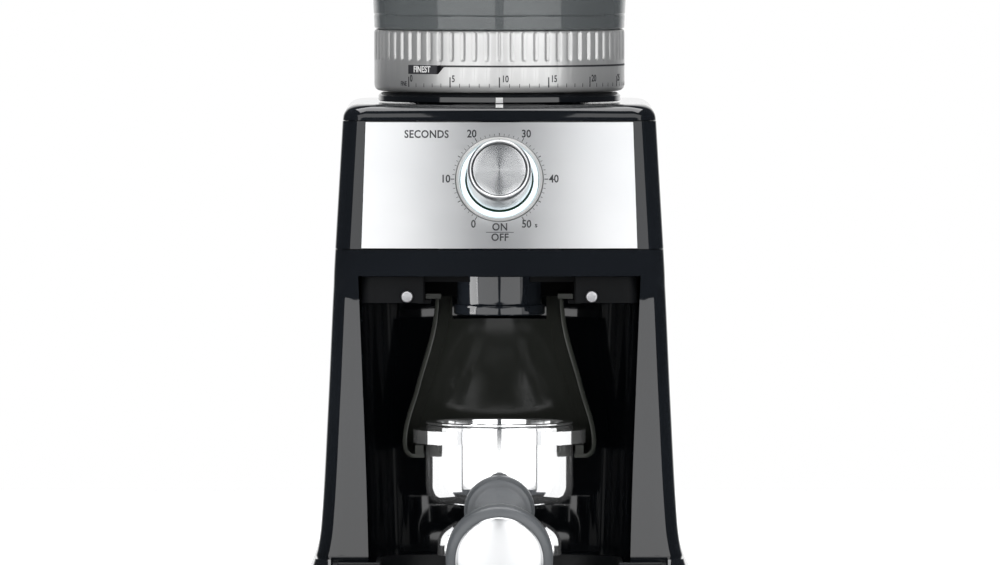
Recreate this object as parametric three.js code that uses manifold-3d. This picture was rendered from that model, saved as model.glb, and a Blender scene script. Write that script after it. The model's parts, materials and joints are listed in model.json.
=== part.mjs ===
// Burr coffee grinder with a docked portafilter. Millimetres, +Z up, front towards -Y.
// The design is laid out round the burr axis (X = 0, Y = 0) and shifted at the end so that the
// origin lies under the middle of the whole object, on the surface it stands on.
import * as THREE from 'three';
import { mergeVertices } from 'three/addons/utils/BufferGeometryUtils.js';
import Module from 'manifold-3d';

const wasm = await Module();
wasm.setup();

// ---------------------------------------------------------------- driving dimensions
const GAP = 0.35;                 // clearance between touching pieces
const WALL = 2.6;                 // moulded shell wall
const FRONT_Y = -208;             // handle cap, foremost point of the object
const CAP_OVERHANG = 1.05;        // how far the tilted cap's edge leads the handle's axis
const REAR_Y = 112;               // cord gland, rearmost point
const CENTRE_SHIFT = -(FRONT_Y + REAR_Y) / 2;

const SEAM_LOW = 158.4;           // lower housing to upper housing
const SEAM_HIGH = 211.6;          // upper housing to top cover
const COVER_TOP = 218.6;
const DECK_Z = 29;                // top of the base platform
const TRAY_RIM = 26.9;
const BAY_TOP = 147;              // ceiling of the open bay

const COLLAR_R = 53.2;
const COLLAR_Z = [223.3, 249.4];
const HOPPER_RIM_Z = 332;
const TOTAL_HEIGHT = 360;

const PANEL_TILT = Math.atan(16 / (SEAM_HIGH - SEAM_LOW));
const DIAL_Z = 187.6;
const DIAL_Y = -80 + 16 * (DIAL_Z - SEAM_LOW) / (SEAM_HIGH - SEAM_LOW);
const KNOB_R = 13.7;
const KNOB_HEIGHT = 15.8;

const OUTLET_Y = -47;             // axis of grind outlet and portafilter
const OUTLET_R = 17.85;
const BASKET_R = 31.1;            // portafilter body
const RIM_Z = 84.7;
const HANDLE_START = new THREE.Vector3(0, -92, 49);
const HANDLE_END = new THREE.Vector3(0, FRONT_Y + CAP_OVERHANG, 35);

const GEAR_MODULE = 1.2;
const OUTPUT_TEETH = 36;
const IDLER_TEETH = 28;
const PINION_TEETH = 10;
const MESH_CLEARANCE = 0.15;
const IDLER_Y = GEAR_MODULE * (OUTPUT_TEETH + IDLER_TEETH) / 2 + MESH_CLEARANCE;
const MOTOR_Y = IDLER_Y + GEAR_MODULE * (IDLER_TEETH + PINION_TEETH) / 2 + MESH_CLEARANCE;

// Outer form of the body: one row per height, from the base platform to the shoulders.
const PLATFORM = [
  { z: 3, hx: 85.5, front: -107, rear: 105 },
  { z: 12, hx: 83.6, front: -106, rear: 104 },
  { z: 20, hx: 80.3, front: -104, rear: 102.6 },
  { z: 26, hx: 78.2, front: -101, rear: 101 },
  { z: DECK_Z, hx: 77.3, front: -98, rear: 100.3 },
];
const COLUMN = [
  { z: 22, hx: 79.5, front: -73, rear: 102 },
  { z: 32, hx: 76.4, front: -73, rear: 99.5 },
  { z: 42, hx: 75, front: -73, rear: 98.3 },
  { z: 93, hx: 72.1, front: -73, rear: 96 },
  { z: 138.5, hx: 70, front: -73.4, rear: 94.4 },
  { z: 143, hx: 69.75, front: -75.2, rear: 94.2 },
  { z: 147, hx: 69.6, front: -79, rear: 94 },
  { z: SEAM_LOW - GAP, hx: 69, front: -80, rear: 93.5 },
];
const HEAD = [
  { z: SEAM_LOW, hx: 69, front: -80, rear: 93.5 },
  { z: SEAM_HIGH, hx: 66.1, front: -64, rear: 91 },
];
const SHOULDERS = [
  { z: SEAM_HIGH + GAP, hx: 66, front: -63.9, rear: 91 },
  { z: 214, hx: 65.7, front: -63.4, rear: 90.7 },
  { z: 216.4, hx: 64.4, front: -62, rear: 89.5 },
  { z: 218, hx: 62.2, front: -59.8, rear: 87.4 },
  { z: COVER_TOP, hx: 60.2, front: -57.8, rear: 85.4 },
];
const FRONT_RADIUS = 10;
const REAR_RADIUS = 24;
const CROWN = 3.5;                // how far the front face bulges at its middle

// ---------------------------------------------------------------- materials
function finish(color, roughness, metalness) {
  return new THREE.MeshStandardMaterial({ color, roughness, metalness });
}
const GLOSS_BLACK = finish(0x0d0f12, 0.12, 0);
const SATIN_BLACK = finish(0x17181a, 0.45, 0);
const STAINLESS = finish(0xd9dadb, 0.32, 1);
const CHROME = finish(0xe8e9ea, 0.06, 1);
const SILVER = finish(0xcfcfcd, 0.4, 0.6);
const SMOKE = finish(0x4a4d50, 0.15, 0);
const DARK_GREY = finish(0x5c6063, 0.5, 0);
const RUBBER = finish(0x1a1a1a, 0.85, 0);
const LIGHT = finish(0xdff0f4, 0.3, 0);
const STEEL = finish(0x9a9c9e, 0.35, 1);
const BRASS = finish(0xb59a55, 0.35, 1);
const BOARD = finish(0x1f5a38, 0.6, 0);
const GEAR_PLASTIC = finish(0xe6e3d8, 0.5, 0);

// ---------------------------------------------------------------- shape helpers
function signedVolume(geometry) {
  const p = geometry.getAttribute('position');
  const index = geometry.index.array;
  const [a, b, c] = [new THREE.Vector3(), new THREE.Vector3(), new THREE.Vector3()];
  let sum = 0;
  for (let i = 0; i < index.length; i += 3) {
    a.fromBufferAttribute(p, index[i]);
    b.fromBufferAttribute(p, index[i + 1]);
    c.fromBufferAttribute(p, index[i + 2]);
    sum += a.dot(b.cross(c)) / 6;
  }
  return sum;
}

// A closed geometry with shared vertices and outward faces, ready to cut or to use as it is.
function weld(geometry) {
  const bare = geometry.clone();
  bare.deleteAttribute('normal');
  bare.deleteAttribute('uv');
  const merged = mergeVertices(bare, 1e-4);
  const kept = [];
  const index = merged.index.array;
  for (let i = 0; i < index.length; i += 3) {
    const [a, b, c] = [index[i], index[i + 1], index[i + 2]];
    if (a !== b && b !== c && a !== c) kept.push(a, b, c);
  }
  merged.setIndex(kept);
  if (signedVolume(merged) < 0) {
    for (let i = 0; i < kept.length; i += 3) [kept[i + 1], kept[i + 2]] = [kept[i + 2], kept[i + 1]];
    merged.setIndex(kept);
  }
  return merged;
}

function solid(geometry) {
  const welded = weld(geometry);
  return new wasm.Manifold(new wasm.Mesh({
    numProp: 3,
    vertProperties: Float32Array.from(welded.getAttribute('position').array),
    triVerts: Uint32Array.from(welded.index.array),
  }));
}

function geometryOf(manifold) {
  const mesh = manifold.getMesh();
  const geometry = new THREE.BufferGeometry();
  geometry.setAttribute('position', new THREE.BufferAttribute(Float32Array.from(mesh.vertProperties), 3));
  geometry.setIndex([...mesh.triVerts]);
  return geometry;
}

const box = (x0, x1, y0, y1, z0, z1) => {
  const geometry = new THREE.BoxGeometry(x1 - x0, y1 - y0, z1 - z0);
  return solid(geometry.translate((x0 + x1) / 2, (y0 + y1) / 2, (z0 + z1) / 2));
};

const cylinder = (r, z0, z1, x = 0, y = 0, sides = 16) => {
  const geometry = new THREE.CylinderGeometry(r, r, z1 - z0, sides);
  return solid(geometry.rotateX(Math.PI / 2).translate(x, y, (z0 + z1) / 2));
};

const rod = (r, y0, y1, x, z, sides = 16) => {
  const geometry = new THREE.CylinderGeometry(r, r, y1 - y0, sides);
  return solid(geometry.translate(x, (y0 + y1) / 2, z));
};

// A turned piece about a vertical axis; the outline is a list of [radius, height] and closes on itself.
// Outlines of full pieces start and end at AXIS_R, a hair off the axis, so that the outline stays a loop.
const AXIS_R = 0.01;
const turned = (outline, x = 0, y = 0, sides = 18) => {
  const closed = [...outline, outline[0]].map(([r, z]) => new THREE.Vector2(r, z));
  return solid(new THREE.LatheGeometry(closed, sides).rotateX(Math.PI / 2).translate(x, y, 0));
};

// A closed skin over rings of [x, y, z] points, all with the same number of points.
function loft(rings) {
  const count = rings[0].length;
  const index = [];
  rings.slice(1).forEach((_, level) => {
    for (let i = 0; i < count; i += 1) {
      const j = (i + 1) % count;
      const [low, high] = [level * count, (level + 1) * count];
      const [a, b, c, d] = [low + i, low + j, high + j, high + i];
      index.push(a, b, c, a, c, d);
    }
  });
  const flat = (ring) => ring.map(([x, y]) => new THREE.Vector2(x, y));
  const capTriangles = (ring) => THREE.ShapeUtils.triangulateShape(flat(ring), []);
  const top = (rings.length - 1) * count;
  capTriangles(rings[0]).forEach(([a, b, c]) => index.push(a, c, b));
  capTriangles(rings[rings.length - 1]).forEach(([a, b, c]) => index.push(top + a, top + b, top + c));
  const geometry = new THREE.BufferGeometry();
  geometry.setAttribute('position', new THREE.Float32BufferAttribute(rings.flat(2), 3));
  geometry.setIndex(index);
  return solid(geometry);
}

// Rounded rectangle with its own front and rear corner radii and a crowned front edge.
function planRing(
  { z, hx, front, rear }, inset = 0, frontR = FRONT_RADIUS, rearR = REAR_RADIUS, crown = CROWN,
) {
  const [w, f, b] = [hx - inset, front + inset, rear - inset];
  const [rf, rr] = [Math.max(frontR - inset, 1), Math.max(rearR - inset, 1)];
  const points = [];
  const corner = (cx, cy, r, start) => {
    const steps = 4;
    for (let i = 0; i <= steps; i += 1) {
      const angle = start + (i / steps) * Math.PI / 2;
      points.push([cx + r * Math.cos(angle), cy + r * Math.sin(angle), z]);
    }
  };
  corner(w - rf, f + crown + rf, rf, -Math.PI / 2);
  corner(w - rr, b - rr, rr, 0);
  corner(-(w - rr), b - rr, rr, Math.PI / 2);
  corner(-(w - rf), f + crown + rf, rf, Math.PI);
  const frontSteps = 6;
  for (let i = 1; i < frontSteps; i += 1) {
    const u = -1 + 2 * i / frontSteps;
    points.push([u * (w - rf), f + crown * u * u, z]);
  }
  return points;
}

const planLoft = (levels, inset = 0) => loft(levels.map((level) => planRing(level, inset)));
const stretched = (levels, below, above) => [
  { ...levels[0], z: levels[0].z - below },
  ...levels.slice(1, -1),
  { ...levels.at(-1), z: levels.at(-1).z + above },
];
const sideSpan = (side, near, far) => [Math.min(side * near, side * far), Math.max(side * near, side * far)];
const SIDES = [1, -1];

// ---------------------------------------------------------------- the object's tree
const grinder = new THREE.Group();
grinder.position.y = CENTRE_SHIFT;

function piece(name, shape, material, parent = grinder) {
  const geometry = shape.isBufferGeometry ? weld(shape) : geometryOf(shape);
  const mesh = new THREE.Mesh(geometry, material);
  mesh.name = name;
  parent.add(mesh);
  return mesh;
}

// ---------------------------------------------------------------- housings
const BAY_FRONT = -140;           // the bay's cutting form runs out past the front of the body
const BAY_REAR = -3;
const BAY_CORNER = 42;
const BAY = [
  { z: DECK_Z - 3, hx: 55 },
  { z: 50, hx: 55.6 },
  { z: BAY_TOP, hx: 59.3 },
];
// The bay's form, made larger all round by grow, with its ceiling at top.
const bayLoft = (grow, top) => {
  const heights = [BAY[0].z - grow, BAY[1].z, top];
  return loft(BAY.map(({ hx }, i) => planRing(
    { z: heights[i], hx: hx + grow, front: BAY_FRONT, rear: BAY_REAR + grow },
    0, 2, BAY_CORNER, 0,
  )));
};
const TRAY_HALF = 70;
const TRAY_NECK = 52;             // half width behind the legs
const TRAY_FRONT = -101.5;
const TRAY_SHOULDER = -77.5;
const TRAY_REAR = -46;
const TRAY_FLOOR = 14.6;
const TRAY_CORNER = 8;
const TRAY_REAR_CORNER = 30;
// T-shaped plan of the tray: wide in front of the legs, narrow between them.
const trayOutline = (inset) => {
  const [w, n, front] = [TRAY_HALF - inset, TRAY_NECK - inset, TRAY_FRONT + inset];
  const [shoulder, rear] = [TRAY_SHOULDER - inset, TRAY_REAR - inset];
  const [c, k] = [TRAY_CORNER, TRAY_REAR_CORNER];
  const shape = new THREE.Shape();
  shape.absarc(w - c, front + c, c, -Math.PI / 2, 0, false);
  shape.lineTo(w, shoulder);
  shape.lineTo(n, shoulder);
  shape.absarc(n - k, rear, k, 0, Math.PI / 2, false);
  shape.absarc(-n + k, rear, k, Math.PI / 2, Math.PI, false);
  shape.lineTo(-n, shoulder);
  shape.lineTo(-w, shoulder);
  shape.absarc(-w + c, front + c, c, Math.PI, 1.5 * Math.PI, false);
  return shape;
};
const prism = (shape, z0, z1, curveSegments = 5) => {
  const geometry = new THREE.ExtrudeGeometry(shape, { depth: z1 - z0, bevelEnabled: false, curveSegments });
  return solid(geometry.translate(0, 0, z0));
};

const REAR_PANEL = { hx: 46, z0: 36, z1: 138 };
const GLAND = { x: -38, z: 20 };
const SCREWS = [[1, -60], [-1, -60], [1, 40], [-1, 40]];
const SCREW_X = 68;
const SCREW_HOLE_R = 1.9;
const RECESS_FLOOR = 14.2;
const BAY_FLOOR_UNDERSIDE = 11.6;
const THROUGH = 150;              // longer than any wall that a cutting form passes through

function lowerHousing() {
  const outer = planLoft(PLATFORM).add(planLoft(COLUMN));
  const underDeck = { ...PLATFORM.at(-1), z: DECK_Z - WALL };
  const platformHollow = planLoft(stretched([...PLATFORM.slice(0, -1), underDeck], 2, 0), WALL);
  const columnHollow = planLoft(stretched(COLUMN, 0, 3), WALL);
  const [trayX, trayY] = [TRAY_HALF + WALL, TRAY_REAR + TRAY_REAR_CORNER + WALL];
  const trayWall = box(-trayX, trayX, -THROUGH, trayY, BAY_FLOOR_UNDERSIDE, DECK_Z + 1);
  const bayWall = bayLoft(WALL, BAY_TOP + WALL).add(trayWall);
  let shell = outer.subtract(platformHollow.add(columnHollow).subtract(bayWall));
  SCREWS.forEach(([side, y]) => {
    const rib = box(...sideSpan(side, 62, 86), y - 5, y + 5, 8.2, 11.8);
    shell = shell.add(rib.intersect(planLoft(PLATFORM)));
  });
  SCREWS.forEach(([side, y]) => {
    shell = shell.subtract(cylinder(SCREW_HOLE_R, 7, 13, side * SCREW_X, y, 12));
  });
  const openFront = box(-TRAY_HALF - 0.5, TRAY_HALF + 0.5, -THROUGH, -90, RECESS_FLOOR, DECK_Z + 1);
  const recess = prism(trayOutline(-0.5), RECESS_FLOOR, DECK_Z + 1).add(openFront);
  const outletHole = cylinder(17.2, BAY_TOP - 1, BAY_TOP + 5, 0, OUTLET_Y);
  const rearWindow = box(-REAR_PANEL.hx, REAR_PANEL.hx, 80, 120, REAR_PANEL.z0, REAR_PANEL.z1);
  return shell.subtract(bayLoft(0, BAY_TOP)).subtract(recess).subtract(outletHole)
    .subtract(rearWindow).subtract(rod(7, 90, 110, GLAND.x, GLAND.z));
}
piece('lower_housing', lowerHousing(), GLOSS_BLACK);

const VENT = { rows: 6, hx: 28, z0: 104, pitch: 5, slot: 2.2 };
function rearCover() {
  const skin = planLoft(COLUMN).subtract(planLoft(COLUMN).translate(0, -2.4, 0));
  const { hx, z0, z1 } = REAR_PANEL;
  let cover = skin.intersect(box(-hx + GAP, hx - GAP, 80, 120, z0 + GAP, z1 - GAP));
  for (let row = 0; row < VENT.rows; row += 1) {
    const z = VENT.z0 + row * VENT.pitch;
    cover = cover.subtract(box(-VENT.hx, VENT.hx, 80, 120, z, z + VENT.slot));
  }
  return cover;
}
piece('rear_cover', rearCover(), SATIN_BLACK);

const PANEL_HALF = [57.9, 56.2];
const PANEL_THICK = 1.2;
const DIAL_HOLE_R = 18.8;
const panelBlank = (grow) => loft([SEAM_LOW - 1 - grow, SEAM_HIGH + 1 + grow].map((z, i) => {
  const w = PANEL_HALF[i] + grow;
  return [[-w, -100, z], [w, -100, z], [w, -50, z], [-w, -50, z]];
}));
const frontSkin = (depth) => planLoft(HEAD).subtract(planLoft(stretched(HEAD, 1, 1)).translate(0, depth, 0));

const dialGroup = new THREE.Group();
dialGroup.position.set(0, DIAL_Y, DIAL_Z);
dialGroup.rotation.x = Math.PI / 2 - PANEL_TILT;
grinder.add(dialGroup);
dialGroup.updateMatrix();
const inPanelFrame = (shape) => solid(geometryOf(shape).applyMatrix4(dialGroup.matrix));

function upperHousing() {
  const shell = planLoft(HEAD).subtract(planLoft(stretched(HEAD, 2, 2), WALL));
  return shell.subtract(frontSkin(PANEL_THICK + GAP).intersect(panelBlank(GAP)))
    .subtract(inPanelFrame(cylinder(DIAL_HOLE_R, -14, 4)));
}
piece('upper_housing', upperHousing(), GLOSS_BLACK);

function frontPanel() {
  const band = box(-90, 90, -120, 0, SEAM_LOW + GAP, SEAM_HIGH - GAP);
  return frontSkin(PANEL_THICK).intersect(panelBlank(0)).intersect(band)
    .subtract(inPanelFrame(cylinder(DIAL_HOLE_R, -6, 6, 0, 0, 20)));
}
piece('front_panel', frontPanel(), STAINLESS);

const CHAMBER_R = 35.5;
function topCover() {
  const hollow = planLoft([
    { ...SHOULDERS[0], z: SHOULDERS[0].z - 1 },
    { ...SHOULDERS[1], z: COVER_TOP - WALL },
  ], 4);
  return planLoft(SHOULDERS).subtract(hollow).subtract(cylinder(CHAMBER_R + 0.7, 205, 225, 0, 0, 24));
}
piece('top_cover', topCover(), GLOSS_BLACK);

// ---------------------------------------------------------------- base, feet and tray
const plateLevel = { ...PLATFORM[0], hx: 84.2, front: -105.7, rear: 103.7 };
let basePlate = loft([4.4, 7.6].map((z) => planRing({ ...plateLevel, z }, WALL + GAP)));
SCREWS.forEach(([side, y]) => {
  basePlate = basePlate.subtract(cylinder(SCREW_HOLE_R, 3, 9, side * SCREW_X, y, 12));
});
piece('base_plate', basePlate, SATIN_BLACK);

const FEET = [[-62, -84], [62, -84], [-62, 82], [62, 82]];
const FOOT_OUTLINE = [[AXIS_R, 0], [8.2, 0], [9, 0.9], [9, 4.05], [AXIS_R, 4.05]];
const SCREW_OUTLINE = [[AXIS_R, 2.6], [3.2, 2.6], [3.2, 4.05], [1.5, 4.05], [1.5, 11], [AXIS_R, 11]];
FEET.forEach(([x, y], i) => piece(`foot_${i + 1}`, turned(FOOT_OUTLINE, x, y, 14), RUBBER));
SCREWS.forEach(([side, y], i) => {
  piece(`base_screw_${i + 1}`, turned(SCREW_OUTLINE, side * SCREW_X, y, 8), STEEL);
});

function grindsTray() {
  const wall = 2;
  return prism(trayOutline(0), TRAY_FLOOR, TRAY_RIM)
    .subtract(prism(trayOutline(wall), TRAY_FLOOR + wall, TRAY_RIM + 1));
}
piece('grinds_tray', grindsTray(), SATIN_BLACK);

// ---------------------------------------------------------------- dial and start button
const local = (name, shape, material) => piece(name, shape, material, dialGroup);
local('dial_surround', turned([[16.7, -5], [18.35, -5], [18.35, 0.4], [16.7, 0.4]], 0, 0, 20), DARK_GREY);
local('light_ring', turned([
  [14.4, -4], [16.35, -4], [16.35, 0.2], [15.9, 0.7], [14.4, 0.7],
], 0, 0, 20), LIGHT);
local('dial_knob', turned([
  [3.35, 0.9], [KNOB_R, 0.9], [13.5, 14], [13, 15.1], [12.2, KNOB_HEIGHT], [11.5, KNOB_HEIGHT],
  [11.5, 9.4], [6.2, 9.4], [6.2, 6.2], [3.35, 6.2],
], 0, 0, 20), STAINLESS);
local('start_button', turned([
  [AXIS_R, 9.9], [5.2, 9.9], [5.2, 12.2], [11.15, 12.2], [11.15, 14.9], [10.8, 15.3], [AXIS_R, 15.3],
], 0, 0, 24), STAINLESS);

const SPRING_TURNS = 2.5;
class SpringCurve extends THREE.Curve {
  constructor(radius, z0, z1) {
    super();
    Object.assign(this, { radius, z0, z1 });
  }

  getPoint(t, target = new THREE.Vector3()) {
    const angle = t * SPRING_TURNS * 2 * Math.PI;
    const z = this.z0 + t * (this.z1 - this.z0);
    return target.set(this.radius * Math.cos(angle), this.radius * Math.sin(angle), z);
  }
}
const circlePoints = (r, sides) => Array.from({ length: sides }, (_, i) => {
  const angle = (i / sides) * 2 * Math.PI;
  return [r * Math.cos(angle), r * Math.sin(angle)];
});
const swept = (curve, r, steps, sides = 8) => {
  const section = new THREE.Shape(circlePoints(r, sides).map(([x, y]) => new THREE.Vector2(x, y)));
  return new THREE.ExtrudeGeometry(section, { steps, extrudePath: curve, bevelEnabled: false });
};
local('button_spring', swept(new SpringCurve(4.4, 7, 9.1), 0.3, 24, 4), STEEL);
local('encoder_shaft', cylinder(3, -11, 5.6, 0, 0, 16), STEEL);
local('dial_encoder', box(-8, 8, -8, 8, -14, -6.5).add(cylinder(5.5, -7, -2, 0, 0, 20))
  .subtract(cylinder(3.35, -12, 0, 0, 0, 16)), SATIN_BLACK);
local('control_board', box(-34, 34, -17, 19, -16, -14.4), BOARD);

// ---------------------------------------------------------------- grind collar, burrs and chamber
piece('neck_ring', turned([
  [38.5, COVER_TOP + GAP], [51.5, COVER_TOP + GAP], [51.5, 222.9], [38.5, 222.9],
], 0, 0, 24), GLOSS_BLACK);
piece('grind_collar', turned([
  [40.4, COLLAR_Z[0]], [51.4, COLLAR_Z[0]], [COLLAR_R, COLLAR_Z[0] + 1.8],
  [COLLAR_R, COLLAR_Z[1]], [40.4, COLLAR_Z[1]],
], 0, 0, 24), SILVER);
piece('upper_burr_carrier', turned([
  [24.7, 197.8], [32.4, 197.8], [32.4, 223.4], [39.9, 223.4],
  [39.9, 227.6], [21.8, 227.6], [21.8, 216.2], [24.7, 216.2],
]), SATIN_BLACK);
piece('upper_burr', turned([[20.8, 199.4], [24.3, 199.4], [24.3, 215.7], [15.2, 215.7]]), STEEL);
piece('lower_burr', turned([[4.3, 199.8], [19.6, 199.8], [16, 206], [8.4, 216], [4.3, 216]]), STEEL);
piece('burr_nut', turned([[5, 216.4], [7.4, 216.4], [7.4, 221], [5, 221]], 0, 0, 6), BRASS);

const SHAFT_R = 4;
function impeller() {
  let wheel = turned([[4.3, 183.6], [30, 183.6], [30, 185.4], [8.5, 185.4], [8.5, 199.4], [4.3, 199.4]]);
  for (let i = 0; i < 4; i += 1) {
    const blade = box(7, 29, -1, 1, 185, 192);
    wheel = wheel.add(blade.rotate(0, 0, 45 + i * 90));
  }
  return wheel;
}
piece('impeller', impeller(), SATIN_BLACK);
piece('drive_shaft', cylinder(SHAFT_R, 151.8, 222, 0, 0, 20), STEEL);
const bearing = (z0, z1) => turned([[4.3, z0], [10.5, z0], [10.5, z1], [4.3, z1]], 0, 0, 16);
piece('lower_bearing', bearing(153.6, 157.6), STEEL);
piece('upper_bearing', bearing(171.9, 176.9), STEEL);

// Round duct that leads from the side of the chamber down to the outlet's axis.
const circleRing = (r, y, z) => circlePoints(r, 16).map(([dx, dy]) => [dx, y + dy, z]);
const duct = (inset, below) => loft([
  circleRing(13 - inset, OUTLET_Y, 138 - below),
  circleRing(13 - inset, OUTLET_Y, 160),
  circleRing(15 - inset, -38, 184),
  circleRing(15 - inset, -30, 196 - inset),
]);
const SHAFT_HOLE_R = 4.6;
const BEARING_SEAT_R = 10.9;
function burrChamber() {
  const inner = CHAMBER_R - 2.5;
  const cup = cylinder(CHAMBER_R, 178.4, 222, 0, 0, 24).add(cylinder(13.5, 171.5, 179, 0, 0, 24));
  const inside = cylinder(inner, 181, 223, 0, 0, 24).add(cylinder(BEARING_SEAT_R, 170, 177.4, 0, 0, 24))
    .add(cylinder(SHAFT_HOLE_R, 170, 185, 0, 0, 20));
  const passage = duct(2.2, 1).subtract(cylinder(inner, 170, 181, 0, 0, 24));
  return cup.add(duct(0, 0)).subtract(inside).subtract(passage);
}
piece('burr_chamber', burrChamber(), SATIN_BLACK);

// ---------------------------------------------------------------- gearbox and motor
function stadium(hx, y0, y1, z0, z1) {
  const shape = new THREE.Shape();
  shape.absarc(0, y1 - hx, hx, 0, Math.PI, false);
  shape.absarc(0, y0 + hx, hx, Math.PI, 2 * Math.PI, false);
  return prism(shape, z0, z1, 8);
}
const BOX_HALF = 26;
const BOX_REAR = MOTOR_Y + 13;
const BOX_WALL = 2.2;
const BOX_LOW = 151;
const BOX_HIGH = 165;
const IDLER_PIN_R = 2.45;
const IDLER_HOLE_R = IDLER_PIN_R + GAP;
function gearboxBase() {
  const half = BOX_HALF - BOX_WALL;
  const hollow = stadium(half, -half, BOX_REAR - BOX_WALL, BOX_LOW + BOX_WALL, BOX_HIGH + 1);
  const seat = cylinder(13, 152, 158, 0, 0, 24);
  return stadium(BOX_HALF, -BOX_HALF, BOX_REAR, BOX_LOW, BOX_HIGH).subtract(hollow).add(seat)
    .subtract(cylinder(BEARING_SEAT_R, BOX_LOW + BOX_WALL, 159, 0, 0, 24))
    .subtract(cylinder(SHAFT_HOLE_R, 150, 160, 0, 0, 20))
    .subtract(cylinder(5, 150, 160, 0, MOTOR_Y, 20))
    .subtract(cylinder(IDLER_HOLE_R, 150, 160, 0, IDLER_Y, 16));
}
piece('gearbox_base', gearboxBase(), SATIN_BLACK);
piece('gearbox_cover', stadium(BOX_HALF, -BOX_HALF, BOX_REAR, BOX_HIGH + GAP, BOX_HIGH + 3)
  .subtract(cylinder(5, 160, 170, 0, 0, 20))
  .subtract(cylinder(IDLER_HOLE_R, 160, 170, 0, IDLER_Y, 16))
  .subtract(cylinder(4, 160, 170, 0, MOTOR_Y, 16)), SATIN_BLACK);

// Spur gear with straight-flanked teeth, thinned for backlash; toothOnAxis puts a tooth on +Y, else a gap.
function gear(teeth, bore, z0, z1, y, toothOnAxis) {
  const pitchR = GEAR_MODULE * teeth / 2;
  const tip = pitchR + 0.75 * GEAR_MODULE;
  const root = pitchR - 1.1 * GEAR_MODULE;
  const pitch = (2 * Math.PI) / teeth;
  const points = [];
  for (let i = 0; i < teeth; i += 1) {
    const centre = Math.PI / 2 + (i + (toothOnAxis ? 0 : 0.5)) * pitch;
    [[-0.3, root], [-0.12, tip], [0.12, tip], [0.3, root]].forEach(([u, r]) => {
      points.push(new THREE.Vector2(r * Math.cos(centre + u * pitch), r * Math.sin(centre + u * pitch)));
    });
  }
  const blank = new THREE.ExtrudeGeometry(new THREE.Shape(points), { depth: z1 - z0, bevelEnabled: false });
  return solid(blank.translate(0, y, z0)).subtract(cylinder(bore, z0 - 1, z1 + 1, 0, y, 16));
}
const GEARS_Z = [158.4, 164.4];
const MOTOR_SHAFT_R = 3;
piece('output_gear', gear(OUTPUT_TEETH, SHAFT_R + 0.3, ...GEARS_Z, 0, true), GEAR_PLASTIC);
piece('idler_gear', gear(IDLER_TEETH, IDLER_HOLE_R, ...GEARS_Z, IDLER_Y, false), GEAR_PLASTIC);
piece('idler_pin', cylinder(IDLER_PIN_R, 149.6, 169.5, 0, IDLER_Y, 16)
  .add(cylinder(5, 153.6, 158, 0, IDLER_Y, 16)), STEEL);
piece('motor_pinion', gear(PINION_TEETH, MOTOR_SHAFT_R + 0.3, ...GEARS_Z, MOTOR_Y, true), BRASS);
piece('motor_shaft', cylinder(MOTOR_SHAFT_R, 62, 166.5, 0, MOTOR_Y, 16), STEEL);
piece('motor', cylinder(27, 70, 144, 0, MOTOR_Y, 32).add(cylinder(9, 66, 150.6, 0, MOTOR_Y, 24))
  .subtract(cylinder(MOTOR_SHAFT_R + 0.3, 60, 152, 0, MOTOR_Y, 16)), STEEL);
piece('hopper_switch', box(40, 48, 34, 52, 190, 208), SATIN_BLACK);

// ---------------------------------------------------------------- grind outlet and cradle
piece('outlet_chute', turned([
  [13.4, 130], [19.2, 130], [19.2, 134.2], [OUTLET_R, 134.2],
  [OUTLET_R, 146.6], [16.7, 146.6], [16.7, 150.6], [13.4, 150.6],
], 0, OUTLET_Y), GLOSS_BLACK);

const RAIL = { y0: -62, y1: -20, low: 134.9 };
const MOUNT_SCREW = { x: 38.8, z: 138.3 };
function outletMount() {
  const rim = (inset, z0, z1) => loft([z0, z1].map((z) => planRing(
    { z, hx: 58.4, front: -72, rear: BAY_REAR - GAP }, inset, 6, BAY_CORNER, 1,
  )));
  let mount = rim(0, 135.6, BAY_TOP - GAP).subtract(rim(3, 130, 144));
  SIDES.forEach((side) => {
    mount = mount.add(box(...sideSpan(side, 31.4, 34.4), RAIL.y0, RAIL.y1, RAIL.low, 145));
    mount = mount.add(box(...sideSpan(side, 28.9, 32), RAIL.y0, RAIL.y1, RAIL.low, RAIL.low + 1.6));
    mount = mount.subtract(rod(1.8, -75, -66, side * MOUNT_SCREW.x, MOUNT_SCREW.z, 12));
  });
  return mount.subtract(cylinder(18.3, 130, 150, 0, OUTLET_Y)).subtract(box(-32, 32, -80, -60, 130, 150));
}
piece('outlet_mount', outletMount(), SATIN_BLACK);
[['left', -MOUNT_SCREW.x], ['right', MOUNT_SCREW.x]].forEach(([side, x]) => {
  const head = rod(2.6, -74, -72.3, x, MOUNT_SCREW.z, 16);
  piece(`mount_screw_${side}`, rod(1.5, -73, -67, x, MOUNT_SCREW.z, 12).add(head), STEEL);
});

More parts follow.
